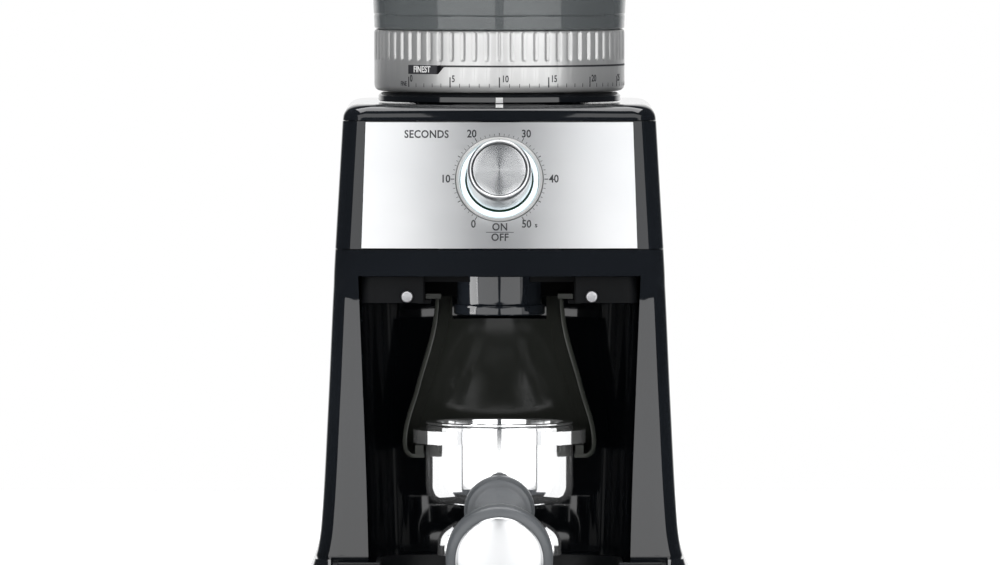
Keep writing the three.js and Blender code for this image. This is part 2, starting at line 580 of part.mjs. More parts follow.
// The cradle hangs from the mount's rails and carries the portafilter's lugs on two ledges.
const CRADLE = [
  { z: 70.2, hx: 38, rear: -10 },
  { z: 72.5, hx: 40.2, rear: -9 },
  { z: 77, hx: 40.8, rear: -8.5 },
  { z: 100, hx: 35.2, rear: -11 },
  { z: 128, hx: 27.9, rear: -18 },
  { z: 137, hx: 26.9, rear: -20 },
];
const CRADLE_FRONT = -64;
const CRADLE_WALL = 1.8;
const cradleLoft = (levels, front, inset = 0) => loft(levels.map(({ z, hx, rear }) => planRing(
  { z, hx, front, rear }, inset, 3, 24, 0,
)));
function cradle() {
  const floorLevel = { ...CRADLE[0], z: 71.8, hx: 38.6 };
  const cavity = [floorLevel, ...CRADLE.slice(1, -1), { ...CRADLE.at(-1), z: 141 }];
  let shell = cradleLoft(CRADLE, CRADLE_FRONT)
    .subtract(cradleLoft(cavity, CRADLE_FRONT - 26, CRADLE_WALL))
    .subtract(box(-31.6, 31.6, -100, -13, 60, 76));
  SIDES.forEach((side) => {
    const ledge = box(...sideSpan(side, 32, 35.4), -62, -24, 71, 75.3);
    const hanger = box(...sideSpan(side, 24.6, 31), -60, -24, 136.9, 139);
    shell = shell.add(ledge).add(hanger);
  });
  return shell.subtract(box(-19.9, 19.9, -60, 0, 127, 145));
}
piece('cradle', cradle(), SMOKE);

// ---------------------------------------------------------------- hopper, lid and gate
const HOPPER_TOP_R = 57;
piece('hopper', turned([
  [24, 229], [24, 259], [50.6, 281], [50.6, COLLAR_Z[1] + GAP], [COLLAR_R, COLLAR_Z[1] + GAP],
  [HOPPER_TOP_R, HOPPER_RIM_Z], [54.4, HOPPER_RIM_Z], [52.3, 285], [21.5, 261.4], [21.5, 229],
], 0, 0, 24), SMOKE);
piece('hopper_gate', turned([
  [AXIS_R, 250], [20.9, 250], [20.9, 253], [13, 257], [12.4, 272], [10.5, 274], [AXIS_R, 274],
]), SATIN_BLACK);
piece('hopper_lid', turned([
  [AXIS_R, 340], [50, 340], [50, HOPPER_RIM_Z - 8], [53.6, HOPPER_RIM_Z - 8], [53.8, HOPPER_RIM_Z + GAP],
  [57.6, HOPPER_RIM_Z + GAP], [57.8, 338], [55, 344.5], [24, 346],
  [22.5, TOTAL_HEIGHT - 2], [20, TOTAL_HEIGHT], [AXIS_R, TOTAL_HEIGHT],
], 0, 0, 24), SATIN_BLACK);

// ---------------------------------------------------------------- portafilter
const handleGroup = new THREE.Group();
const handleAxis = HANDLE_END.clone().sub(HANDLE_START);
const HANDLE_LENGTH = handleAxis.length();
handleGroup.position.copy(HANDLE_START);
handleGroup.quaternion.setFromUnitVectors(new THREE.Vector3(0, 0, 1), handleAxis.normalize());
grinder.add(handleGroup);
handleGroup.updateMatrix();
const inHandleFrame = (shape) => solid(geometryOf(shape).applyMatrix4(handleGroup.matrix));

const LUG_R = 36.4;
const LUG_INNER = 19;             // the two lugs leave the front and back of the rim bare
function portafilterBody() {
  const bowl = turned([
    [AXIS_R, 45.6], [9, 45.6], [9, 50], [25, 50], [29, 52], [BASKET_R, 57],
    [BASKET_R, RIM_Z - 1.3], [AXIS_R, RIM_Z - 1.3],
  ], 0, OUTLET_Y, 20);
  const flange = cylinder(LUG_R, 75.8, 81.6, 0, OUTLET_Y, 20);
  const between = box(-LUG_INNER, LUG_INNER, OUTLET_Y - 40, OUTLET_Y + 40, 70, 90);
  const neck = inHandleFrame(cylinder(9.2, -20, 12, 0, 0, 24));
  const cavity = turned([
    [AXIS_R, 53], [24.5, 53], [28.7, 58], [28.7, 90], [AXIS_R, 90],
  ], 0, OUTLET_Y, 20);
  return bowl.add(flange.subtract(between)).add(neck).subtract(cavity);
}
piece('portafilter_body', portafilterBody(), CHROME);
piece('portafilter_basket', turned([
  [AXIS_R, 56.5], [23, 56.5], [26.6, 61], [27.6, RIM_Z - 1], [BASKET_R, RIM_Z - 1],
  [BASKET_R, RIM_Z], [26.6, RIM_Z], [25.6, 61.6], [22.6, 57.7], [AXIS_R, 57.7],
], 0, OUTLET_Y, 20), CHROME);
piece('basket_spring', turned([[28, 66], [28.45, 66.4], [28, 66.8], [27.6, 66.4]], 0, OUTLET_Y, 20), STEEL);

const SPOUT_R = 6;
const spoutPath = new THREE.CatmullRomCurve3([
  [-20.3, 28], [-19.7, 34], [-13, 38.4], [0, 39], [13, 38.4], [19.7, 34], [20.3, 28],
].map(([x, z]) => new THREE.Vector3(x, OUTLET_Y, z)));
piece('portafilter_spout', solid(swept(spoutPath, SPOUT_R, 16, 8))
  .add(cylinder(8.6, 38, 45.2, 0, OUTLET_Y, 20)), CHROME);

const grip = (name, shape, material) => piece(name, shape, material, handleGroup);
grip('handle_ferrule', turned([
  [9.6, -4.5], [14.8, -4.5], [14.8, 0.5], [12.5, 2], [9.6, 2],
], 0, 0, 20), DARK_GREY);
// The polished grip flares towards its end, where a dark ring sits over its spigot.
const RING_START = 101;
const SPIGOT_R = 14;
grip('portafilter_handle', turned([
  [9.55, 2.4], [11.4, 2.4], [11, 16], [12.6, 40], [15.6, 68], [19.6, 94], [20.8, RING_START],
  [SPIGOT_R, RING_START], [SPIGOT_R, HANDLE_LENGTH - 3], [AXIS_R, HANDLE_LENGTH - 3], [AXIS_R, 14], [9.55, 14],
], 0, 0, 20), CHROME);
grip('handle_ring', turned([
  [SPIGOT_R + GAP, RING_START + GAP], [21.6, RING_START + GAP], [22, RING_START + 2],
  [22, HANDLE_LENGTH - 5], [18.4, HANDLE_LENGTH - 3], [SPIGOT_R + GAP, HANDLE_LENGTH - 3],
], 0, 0, 20), DARK_GREY);
grip('handle_cap', turned([
  [AXIS_R, HANDLE_LENGTH - 2.6], [18, HANDLE_LENGTH - 2.6], [17, HANDLE_LENGTH - 1],
  [9, HANDLE_LENGTH - 0.2], [AXIS_R, HANDLE_LENGTH],
], 0, 0, 20), STAINLESS);

piece('cord_gland', rod(6.5, 95, 105, GLAND.x, GLAND.z).add(rod(9.5, 104.8, 107, GLAND.x, GLAND.z))
  .add(rod(5.5, 105, REAR_Y, GLAND.x, GLAND.z)).subtract(rod(3.6, 90, 115, GLAND.x, GLAND.z)), RUBBER);

export default grinder;
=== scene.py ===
# Burr coffee grinder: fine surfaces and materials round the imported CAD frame.
# Shapes are worked out in millimetres about the burr axis, as the design is, and placed in the row frame.
import json
import math

import bmesh
import bpy
from mathutils import Matrix, Vector


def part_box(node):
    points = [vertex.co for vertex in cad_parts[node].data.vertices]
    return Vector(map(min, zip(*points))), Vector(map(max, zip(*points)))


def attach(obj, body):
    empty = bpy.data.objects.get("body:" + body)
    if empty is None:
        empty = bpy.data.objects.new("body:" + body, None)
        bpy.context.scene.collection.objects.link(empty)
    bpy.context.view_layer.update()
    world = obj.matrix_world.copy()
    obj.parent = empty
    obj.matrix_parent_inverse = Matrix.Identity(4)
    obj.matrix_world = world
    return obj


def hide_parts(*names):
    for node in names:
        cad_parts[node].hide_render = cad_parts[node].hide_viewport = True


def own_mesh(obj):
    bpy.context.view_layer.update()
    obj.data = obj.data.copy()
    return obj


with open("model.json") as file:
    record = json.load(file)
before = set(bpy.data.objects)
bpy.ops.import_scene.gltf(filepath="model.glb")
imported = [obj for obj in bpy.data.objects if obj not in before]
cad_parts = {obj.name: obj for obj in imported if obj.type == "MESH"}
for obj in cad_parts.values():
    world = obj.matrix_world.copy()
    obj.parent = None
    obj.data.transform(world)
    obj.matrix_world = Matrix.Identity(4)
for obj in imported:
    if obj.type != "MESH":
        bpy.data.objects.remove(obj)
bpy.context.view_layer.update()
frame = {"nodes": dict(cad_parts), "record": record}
NODES = frame["nodes"]
BODY_OF = {n: b for b, ns in frame["record"]["behaviour"]["bodies"].items() for n in ns}
SLOT_OF = {s["node"]: s["material_slot"] for s in frame["record"]["subparts"]}

# ---------------------------------------------------------------- dimensions, mm
collar_low, collar_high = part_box("grind_collar")
AXIS_Y = (collar_low.y + collar_high.y) / 2      # burr axis in the row frame, metres
COLLAR_Z0 = collar_low.z * 1000
COLLAR_Z1 = collar_high.z * 1000
COLLAR_R = collar_high.x * 1000
GAP = 0.35
WALL = 2.6
SEAM_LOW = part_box("upper_housing")[0].z * 1000
SEAM_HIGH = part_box("upper_housing")[1].z * 1000
COVER_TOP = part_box("top_cover")[1].z * 1000
DECK_Z = 29.0
TRAY_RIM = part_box("grinds_tray")[1].z * 1000
BAY_TOP = 147.0
FRONT_LOW = -80.0                                # panel's foot
PANEL_LEAN = 16.0                                # how much further back its head is
PANEL_RISE = SEAM_HIGH - SEAM_LOW
PANEL_TILT = math.atan(PANEL_LEAN / PANEL_RISE)
DIAL_Z = 187.6
DIAL_Y = FRONT_LOW + PANEL_LEAN * (DIAL_Z - SEAM_LOW) / PANEL_RISE
OUTLET_Y = -47.0
BASKET_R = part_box("portafilter_basket")[1].x * 1000
RIM_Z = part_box("portafilter_basket")[1].z * 1000
HANDLE_START = Vector((0, -92, 49))
HANDLE_END = Vector((0, -206.95, 35))
HANDLE_LENGTH = (HANDLE_END - HANDLE_START).length
TOTAL_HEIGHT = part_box("hopper_lid")[1].z * 1000
HOPPER_RIM_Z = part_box("hopper")[1].z * 1000
HOPPER_TOP_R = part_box("hopper")[1].x * 1000

# height: half width, front, rear of the outer form
PLATFORM = [
    (3, 85.5, -107, 105), (12, 83.6, -106, 104), (20, 80.3, -104, 102.6), (26, 78.2, -101, 101),
    (DECK_Z, 77.3, -98, 100.3)]
COLUMN = [
    (22, 79.5, -73, 102), (32, 76.4, -73, 99.5), (42, 75, -73, 98.3), (93, 72.1, -73, 96),
    (138.5, 70, -73.4, 94.4), (143, 69.75, -75.2, 94.2), (147, 69.6, -78.4, 94),
    (SEAM_LOW - GAP, 69, -80, 93.5)]
HEAD = [(SEAM_LOW, 69, -80, 93.5), (SEAM_HIGH, 66.1, -64, 91)]
SHOULDERS = [
    (SEAM_HIGH + GAP, 66, -63.9, 91), (214, 65.7, -63.4, 90.7), (216.4, 64.4, -62, 89.5),
    (218, 62.2, -59.8, 87.4), (COVER_TOP, 60.2, -57.8, 85.4)]
CROWN = 3.5
FRONT_RADIUS = 10
REAR_RADIUS = 24

# ---------------------------------------------------------------- camera, light, floor
CAMERA_DISTANCE = 5.0
CAMERA_HEIGHT = 0.3294
LOOK_DOWN = math.radians(2.152)
LENS_MM = 423.0
MAIN_POWER = 12.8
UPPER_POWER = 5.2
CEILING_POWER = 34.0
CARD_POWER = 9.2
BAY_CARD_POWER = 0.0074
OUTLET_CARD_POWER = 0.005
POLISHED = ("portafilter_body_fine", "portafilter_basket_fine", "portafilter_spout_fine",
    "portafilter_handle_fine",
            "handle_cap_fine", "outlet_chute_fine")


def make_camera():
    data = bpy.data.cameras.new("camera")
    data.lens = LENS_MM
    data.sensor_width = 36
    data.clip_end = 50
    camera = bpy.data.objects.new("camera", data)
    camera.location = (0.00026, AXIS_Y - CAMERA_DISTANCE, CAMERA_HEIGHT)
    camera.rotation_euler = (math.pi / 2 - LOOK_DOWN, 0, 0)
    bpy.context.scene.collection.objects.link(camera)
    bpy.context.scene.camera = camera


def area_light(name, place, target, size, power):
    data = bpy.data.lights.new(name, "AREA")
    data.shape = "RECTANGLE"
    data.size, data.size_y = size
    data.energy = power
    lamp = bpy.data.objects.new(name, data)
    lamp.location = place
    lamp.rotation_euler = (Vector(target) - Vector(place)).to_track_quat("-Z", "Y").to_euler()
    bpy.context.scene.collection.objects.link(lamp)
    return lamp


def make_studio():
    """Two broad boxes either side of the camera, a smaller pair above them, and a ceiling box."""
    for side, name in ((-1, "left"), (1, "right")):
        area_light(f"main_{name}", (side * 0.93, -1.52, 0.41), (0, 0, 0.2), (1.9, 1.04), MAIN_POWER)
        area_light(f"upper_{name}", (side * 0.9, -1.3, 1.4), (side * 0.9, 0, 0.2), (1.3, 0.9), UPPER_POWER)
    area_light("ceiling", (0, 0.3, 1.9), (0, 0.1, 0), (1.8, 1.5), CEILING_POWER)
    world = bpy.data.worlds.new("studio")
    world.use_nodes = True
    tree = world.node_tree
    background = tree.nodes["Background"]
    background.inputs["Strength"].default_value = 1.0
    coords = tree.nodes.new("ShaderNodeTexCoord")
    split = tree.nodes.new("ShaderNodeSeparateXYZ")
    tree.links.new(coords.outputs["Generated"], split.inputs[0])
    ramp = tree.nodes.new("ShaderNodeValToRGB")
    ramp.color_ramp.elements[0].position = 0.80
    ramp.color_ramp.elements[0].color = (0.055, 0.06, 0.068, 1)
    ramp.color_ramp.elements[1].position = 0.93
    ramp.color_ramp.elements[1].color = (1.0, 1.0, 1.0, 1)
    tree.links.new(split.outputs["Y"], ramp.inputs["Fac"])
    tree.links.new(ramp.outputs["Color"], background.inputs["Color"])
    bpy.context.scene.world = world
    bpy.context.scene.view_settings.view_transform = "Standard"


def make_metal_cards():
    """Reflector cards that light the POLISHED pieces alone, and that only those pieces can shadow."""
    polished = bpy.data.collections.new("polished")
    for name in POLISHED:
        polished.objects.link(bpy.data.objects[name])
    cards = [area_light(f"card_{name}", (side * 1.6, 0.1, 0.2), (0, 0.1, 0.15), (2.0, 1.3), CARD_POWER)
             for side, name in ((-1, "left"), (1, "right"))]
    cards.append(area_light("card_low", (0, -1.3, -0.35), (0, 0, 0.04), (2.4, 0.8), CARD_POWER * 0.85))
    for side, name in ((-1, "left"), (1, "right")):
        place = (side * 0.053, -0.058, 0.063)
        cards.append(close_card(f"bay_card_{name}", place, (0.036, 0.06), BAY_CARD_POWER))
    cards.append(close_card("outlet_card", (-0.030, -0.067, 0.139), (0.014, 0.02), OUTLET_CARD_POWER))
    for card in cards:
        card.light_linking.receiver_collection = polished
        card.light_linking.blocker_collection = polished


def close_card(name, place, size, power):
    """A small card inside the bay that faces its middle, unseen by the camera; y is from the burr axis."""
    x, y, z = place
    card = area_light(name, (x, AXIS_Y + y, z), (0, AXIS_Y + y, z), size, power)
    card.visible_camera = False
    return card


def make_floor():
    mesh = bpy.data.meshes.new("floor")
    mesh.from_pydata([(-3, -3, 0), (3, -3, 0), (3, 1, 0), (-3, 1, 0)], [], [(0, 1, 2, 3)])
    floor = bpy.data.objects.new("floor", mesh)
    bpy.context.scene.collection.objects.link(floor)
    floor.data.materials.append(plain_floor())
    floor.visible_glossy = False


# ---------------------------------------------------------------- materials
def new_material(name):
    material = bpy.data.materials.new(name)
    material.use_nodes = True
    return material, material.node_tree, material.node_tree.nodes["Principled BSDF"]


def noise(tree, scale, detail=2.0, stretch=(1, 1, 1)):
    coords = tree.nodes.new("ShaderNodeTexCoord")
    mapping = tree.nodes.new("ShaderNodeMapping")
    mapping.inputs["Scale"].default_value = stretch
    texture = tree.nodes.new("ShaderNodeTexNoise")
    texture.inputs["Scale"].default_value = scale
    texture.inputs["Detail"].default_value = detail
    tree.links.new(coords.outputs["Object"], mapping.inputs["Vector"])
    tree.links.new(mapping.outputs["Vector"], texture.inputs["Vector"])
    return texture.outputs["Fac"]


def spread(tree, value, low, high):
    node = tree.nodes.new("ShaderNodeMapRange")
    node.inputs["To Min"].default_value = low
    node.inputs["To Max"].default_value = high
    tree.links.new(value, node.inputs["Value"])
    return node.outputs["Result"]


def tint(tree, value, dark, light):
    ramp = tree.nodes.new("ShaderNodeValToRGB")
    ramp.color_ramp.elements[0].position = 0.3
    ramp.color_ramp.elements[0].color = (*dark, 1)
    ramp.color_ramp.elements[1].position = 0.7
    ramp.color_ramp.elements[1].color = (*light, 1)
    tree.links.new(value, ramp.inputs["Fac"])
    return ramp.outputs["Color"]


def bump(tree, shader, value, strength, distance):
    node = tree.nodes.new("ShaderNodeBump")
    node.inputs["Strength"].default_value = strength
    node.inputs["Distance"].default_value = distance
    tree.links.new(value, node.inputs["Height"])
    tree.links.new(node.outputs["Normal"], shader.inputs["Normal"])


def varied(name, dark, light, rough, scale, metallic=0.0, grain=0.0, grain_scale=900.0, stretch=(1, 1, 1)):
    """A surface whose colour and gloss drift gently, with an optional fine grain."""
    material, tree, shader = new_material(name)
    drift = noise(tree, scale)
    tree.links.new(tint(tree, drift, dark, light), shader.inputs["Base Color"])
    tree.links.new(spread(tree, noise(tree, scale * 3, 3.0, stretch), *rough), shader.inputs["Roughness"])
    shader.inputs["Metallic"].default_value = metallic
    if grain:
        bump(tree, shader, noise(tree, grain_scale, 2.0, stretch), grain, 0.0002)
    return material, shader


def gloss_black():
    material, shader = varied("gloss_black", (0.004, 0.005, 0.0065), (0.007, 0.0085, 0.011), (0.05, 0.09), 14,
                              grain=0.03, grain_scale=260)
    shader.inputs["Coat Weight"].default_value = 0.35
    shader.inputs["Coat Roughness"].default_value = 0.03
    return material


def satin_black():
    return varied("satin_black", (0.010, 0.011, 0.013), (0.016, 0.017, 0.019), (0.38, 0.5), 30,
                  grain=0.25, grain_scale=1600)[0]


# Painted shade: the mount is black plastic, but this black is darker and duller than the gloss shells. It
# stands for the shade the mount sits in under the visor.
def mount_black():
    material, shader = varied("mount_black", (0.003, 0.0035, 0.004), (0.005, 0.0055, 0.0065), (0.45, 0.6), 30)
    shader.inputs["Specular IOR Level"].default_value = 0.12
    return material


def stainless():
    material, shader = varied("brushed_stainless", (0.74, 0.75, 0.76), (0.82, 0.825, 0.83), (0.26, 0.36), 20,
                              metallic=1.0, grain=0.10, grain_scale=260, stretch=(0.06, 1.0, 9.0))
    shader.inputs["Anisotropic"].default_value = 0.8
    upright = material.node_tree.nodes.new("ShaderNodeCombineXYZ")
    upright.inputs["Z"].default_value = 1.0
    material.node_tree.links.new(upright.outputs["Vector"], shader.inputs["Tangent"])
    return material


def spun_metal():
    material, tree, shader = new_material("spun_metal")
    colour = tint(tree, noise(tree, 40), (0.86, 0.87, 0.88), (0.94, 0.95, 0.96))
    tree.links.new(colour, shader.inputs["Base Color"])
    tree.links.new(spread(tree, noise(tree, 300, 3.0), 0.22, 0.26), shader.inputs["Roughness"])
    shader.inputs["Metallic"].default_value = 1.0
    shader.inputs["Anisotropic"].default_value = 0.85
    shader.inputs["Anisotropic Rotation"].default_value = 0.25
    tangent = tree.nodes.new("ShaderNodeTangent")
    tangent.direction_type = "UV_MAP"
    tangent.uv_map = "spin"
    tree.links.new(tangent.outputs["Tangent"], shader.inputs["Tangent"])
    return material


def chrome():
    return varied("chrome", (0.86, 0.865, 0.87), (0.90, 0.905, 0.91), (0.05, 0.09), 25, 0.95)[0]


def silver():
    return varied("satin_silver", (0.52, 0.52, 0.515), (0.59, 0.59, 0.585), (0.28, 0.38), 35,
                  metallic=0.6, grain=0.08, grain_scale=1800)[0]


def smoke(name, dark, light, transmission, rough=(0.04, 0.08)):
    material, shader = varied(name, dark, light, rough, 18)
    shader.inputs["Transmission Weight"].default_value = transmission
    shader.inputs["IOR"].default_value = 1.45
    return material


def dark_grey():
    return varied("dark_grey", (0.085, 0.092, 0.098), (0.115, 0.122, 0.13), (0.3, 0.42), 30, 0, 0.15,
        1400)[0]


def rubber():
    return varied("rubber", (0.012, 0.012, 0.013), (0.02, 0.02, 0.021), (0.7, 0.85), 60, 0, 0.3, 1500)[0]


def lit_ring():
    material, shader = varied("lit_ring", (0.80, 0.93, 0.96), (0.9, 0.97, 0.99), (0.25, 0.4), 60)
    shader.inputs["Emission Color"].default_value = (0.78, 0.93, 1.0, 1)
    shader.inputs["Emission Strength"].default_value = 0.55
    return material


def machined(name, dark, light):
    return varied(name, dark, light, (0.25, 0.4), 60, 1.0, 0.1, 500, (1, 1, 8))[0]


def print_ink(name, shade):
    low = tuple(c * 0.8 for c in shade)
    return varied(name, low, shade, (0.45, 0.6), 400)[0]


def plain_floor():
    material, shader = varied("floor", (0.86, 0.86, 0.86), (0.9, 0.9, 0.9), (0.5, 0.6), 3)
    shader.inputs["Emission Color"].default_value = (1, 1, 1, 1)
    shader.inputs["Emission Strength"].default_value = 0.4
    return material


make_camera()
make_studio()
make_floor()
MATERIALS = {
    "gloss_black": gloss_black(), "satin_black": satin_black(), "stainless": stainless(),
    "chrome": chrome(),
    "silver": silver(), "smoke_plastic": smoke("smoked_clear", (0.18, 0.195, 0.2), (0.24, 0.26, 0.265),
    0.6),
    "dark_grey": dark_grey(), "rubber": rubber(), "light_diffuser": lit_ring(),
    "steel": machined("steel", (0.45, 0.45, 0.46), (0.58, 0.58, 0.59)),
    "brass": machined("brass", (0.5, 0.4, 0.2), (0.65, 0.54, 0.28)),
    "circuit_board": varied("circuit_board", (0.01, 0.09, 0.03), (0.015, 0.13, 0.05), (0.3, 0.5), 80)[0],
    "gear_plastic": varied("gear_plastic", (0.7, 0.68, 0.6), (0.8, 0.78, 0.7), (0.4, 0.55), 50)[0],
}
SPUN = spun_metal()
CRADLE_SMOKE = smoke("cradle_smoke", (0.026, 0.028, 0.024), (0.038, 0.04, 0.035), 0.12, (0.16, 0.24))
# The mount's black carries painted shade for its place under the visor.
MOUNT_BLACK_PAINTED_SHADE = mount_black()
INK_DARK = print_ink("ink_dark", (0.03, 0.03, 0.035))
INK_WHITE = print_ink("ink_white", (0.85, 0.85, 0.84))

# ---------------------------------------------------------------- mesh tools
CORNER_STEPS = 14
FRONT_STEPS = 28
SHARP_ANGLE = math.radians(32)


def to_row(point):
    """A design point in mm, in metres in the row frame."""
    return Vector((point[0] / 1000, point[1] / 1000 + AXIS_Y, point[2] / 1000))


def build(name, points, faces, matrix=None):
    """A mesh object from design points in mm, with outward faces."""
    if matrix is not None:
        points = [matrix @ Vector(p) for p in points]
    mesh = bpy.data.meshes.new(name)
    mesh.from_pydata([to_row(p) for p in points], [], faces)
    work = bmesh.new()
    work.from_mesh(mesh)
    bmesh.ops.remove_doubles(work, verts=work.verts, dist=1e-7)
    bmesh.ops.recalc_face_normals(work, faces=work.faces)
    work.to_mesh(mesh)
    work.free()
    made = bpy.data.objects.new(name, mesh)
    bpy.context.scene.collection.objects.link(made)
    return made


def loft(name, rings, matrix=None):
    count = len(rings[0])
    faces = [tuple(reversed(range(count)))]
    for level in range(len(rings) - 1):
        low, high = level * count, (level + 1) * count
        faces += [(low + i, low + (i + 1) % count, high + (i + 1) % count, high + i) for i in range(count)]
    top = (len(rings) - 1) * count
    faces.append(tuple(range(top, top + count)))
    return build(name, [p for ring in rings for p in ring], faces, matrix)


def turned(name, outline, centre=(0, 0), sides=96, matrix=None, radius_at=None):
    """A lathed piece; the outline of [radius, height] closes on itself, and radius_at may ripple it."""
    points, faces = [], []
    for r, z in outline:
        for i in range(sides):
            angle = 2 * math.pi * i / sides
            reach = radius_at(r, z, angle) if radius_at else r
            points.append((centre[0] + reach * math.cos(angle), centre[1] + reach * math.sin(angle), z))
    rows = len(outline)
    for row in range(rows):
        nxt = (row + 1) % rows
        if outline[row][0] < 1e-4 and outline[nxt][0] < 1e-4:
            continue
        for i in range(sides):
            j = (i + 1) % sides
            faces.append((row * sides + i, row * sides + j, nxt * sides + j, nxt * sides + i))
    made = build(name, points, faces, matrix)
    work = bmesh.new()
    work.from_mesh(made.data)
    bmesh.ops.dissolve_degenerate(work, dist=1e-7, edges=work.edges)
    bmesh.ops.recalc_face_normals(work, faces=work.faces)
    work.to_mesh(made.data)
    work.free()
    return made


def block(name, low, high, matrix=None):
    (x0, y0, z0), (x1, y1, z1) = low, high
    points = [(x, y, z) for z in (z0, z1) for y in (y0, y1) for x in (x0, x1)]
    faces = [(0, 2, 3, 1), (4, 5, 7, 6), (0, 1, 5, 4), (2, 6, 7, 3), (0, 4, 6, 2), (1, 3, 7, 5)]
    return build(name, points, faces, matrix)


def cylinder(name, r, z0, z1, centre=(0, 0), sides=64, matrix=None):
    return turned(name, [(0, z0), (r, z0), (r, z1), (0, z1)], centre, sides, matrix)


def rod_matrix(x, y, z):
    """Stands a turned piece along -Y, its height counted forwards from y."""
    return Matrix.Translation((x, y, z)) @ Matrix.Rotation(math.pi / 2, 4, "X")


def baked(made):
    graph = bpy.context.evaluated_depsgraph_get()
    made.data = bpy.data.meshes.new_from_object(made.evaluated_get(graph))
    made.modifiers.clear()
    return made


def boolean(target, tools, operation):
    for tool in tools:
        cut = target.modifiers.new("cut", "BOOLEAN")
        cut.operation = operation
        cut.solver = "MANIFOLD"
        cut.object = tool
        baked(target)
        bpy.data.objects.remove(tool)
    return target


def cut(target, *tools):
    return boolean(target, tools, "DIFFERENCE")


def join(target, *tools):
    return boolean(target, tools, "UNION")


def keep(target, *tools):
    return boolean(target, tools, "INTERSECT")


def finish_piece(made, node, slot=None, material=None, edge=0.0, segments=3, angle=35):
    """Rounds the edges, smooths the shading, gives the finish, and stands for the CAD node."""
    slot = slot or SLOT_OF[node]
    made.data.materials.clear()
    made.data.materials.append(material or MATERIALS[slot])
    if edge:
        bevel = made.modifiers.new("edges", "BEVEL")
        bevel.width = edge / 1000
        bevel.segments = segments
        bevel.limit_method = "ANGLE"
        bevel.angle_limit = math.radians(angle)
        bevel.use_clamp_overlap = True
        baked(made)
    made.data.polygons.foreach_set("use_smooth", [True] * len(made.data.polygons))
    made.data.set_sharp_from_angle(angle=SHARP_ANGLE)
    if edge:
        even = made.modifiers.new("even", "WEIGHTED_NORMAL")
        even.keep_sharp = True
        baked(made)
    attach(made, BODY_OF[node])
    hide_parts(node)
    return made


def detail(made, body, slot, material):
    made.data.materials.clear()
    made.data.materials.append(material)
    made.data.polygons.foreach_set("use_smooth", [True] * len(made.data.polygons))
    made.data.set_sharp_from_angle(angle=SHARP_ANGLE)
    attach(made, body)
    return made


# ---------------------------------------------------------------- outer form
def smooth_rows(rows, count):
    """Rows at even heights through the given ones, by monotone cubic pieces."""
    heights = [r[0] for r in rows]

    def slopes(values):
        rates = [(values[i + 1] - values[i]) / (heights[i + 1] - heights[i]) for i in range(len(rows) - 1)]
        inner = [0 if a * b <= 0 else 2 * a * b / (a + b) for a, b in zip(rates, rates[1:])]
        return [rates[0], *inner, rates[-1]]

    columns = [[r[k] for r in rows] for k in (1, 2, 3)]
    tangents = [slopes(c) for c in columns]
    made = []
    for step in range(count + 1):
        z = heights[0] + (heights[-1] - heights[0]) * step / count
        i = max(k for k in range(len(rows) - 1) if heights[k] <= z + 1e-9)
        span = heights[i + 1] - heights[i]
        t = min(max((z - heights[i]) / span, 0), 1)
        row = [z]
        for values, slope in zip(columns, tangents):
            a = (2 * t**3 - 3 * t**2 + 1) * values[i] + (t**3 - 2 * t**2 + t) * span * slope[i]
            row.append(a + (3 * t**2 - 2 * t**3) * values[i + 1] + (t**3 - t**2) * span * slope[i + 1])
        made.append(tuple(row))
    return made


def plan_ring(row, inset=0, front_r=FRONT_RADIUS, rear_r=REAR_RADIUS, crown=CROWN):
    z, hx, front, rear = row
    w, f, b = hx - inset, front + inset, rear - inset
    rf, rr = max(front_r - inset, 1), max(rear_r - inset, 1)
    points = []
    corners = [(w - rf, f + crown + rf, rf, -90), (w - rr, b - rr, rr, 0), (-(w - rr), b - rr, rr, 90),
               (-(w - rf), f + crown + rf, rf, 180)]
    for cx, cy, r, start in corners:
        for i in range(CORNER_STEPS + 1):
            angle = math.radians(start + 90 * i / CORNER_STEPS)
            points.append((cx + r * math.cos(angle), cy + r * math.sin(angle), z))
    for i in range(1, FRONT_STEPS):
        u = -1 + 2 * i / FRONT_STEPS
        points.append((u * (w - rf), f + crown * u * u, z))
    return points


def form(name, rows, inset=0, below=0, above=0, shift=0):
    rows = [(rows[0][0] - below, *rows[0][1:]), *rows[1:-1], (rows[-1][0] + above, *rows[-1][1:])]
    rings = [[(x, y + shift, z) for x, y, z in plan_ring(row, inset)] for row in rows]
    return loft(name, rings)


BAY_ROWS = [(DECK_Z - 3, 55, -140, -3), (50, 55.6, -140, -3), (BAY_TOP, 59.3, -140, -3)]
BAY_CORNER = 42


def bay_form(name, grow=0.0, top=BAY_TOP):
    rows = smooth_rows([(r[0], r[1] + grow, r[2], r[3] + grow) for r in BAY_ROWS], 10)
    rows = [(rows[0][0] - grow, *rows[0][1:]), *rows[1:-1], (top, *rows[-1][1:])]
    return loft(name, [plan_ring(row, 0, 2, BAY_CORNER, 0) for row in rows])


def arc(cx, cy, r, start, end, steps=10):
    return [(cx + r * math.cos(math.radians(start + (end - start) * i / steps)),
             cy + r * math.sin(math.radians(start + (end - start) * i / steps))) for i in range(steps + 1)]


TRAY_HALF = 70.0
TRAY_BACK = -16.0


def tray_outline(inset):
    w, n, front = TRAY_HALF - inset, 52 - inset, -101.5 + inset
    shoulder, back = -77.5 - inset, TRAY_BACK - 30 - inset
    return [*arc(w - 8, front + 8, 8, -90, 0), (w, shoulder), (n, shoulder), *arc(n - 30, back, 30, 0, 90),
            *arc(-n + 30, back, 30, 90, 180), (-n, shoulder), (-w, shoulder),
            *arc(-w + 8, front + 8, 8, 180, 270)]


def slab(name, outline, z0, z1):
    return loft(name, [[(x, y, z) for x, y in outline] for z in (z0, z1)])


REAR_PANEL = (46, 36, 138)
GLAND_X, GLAND_Z = -38, 20


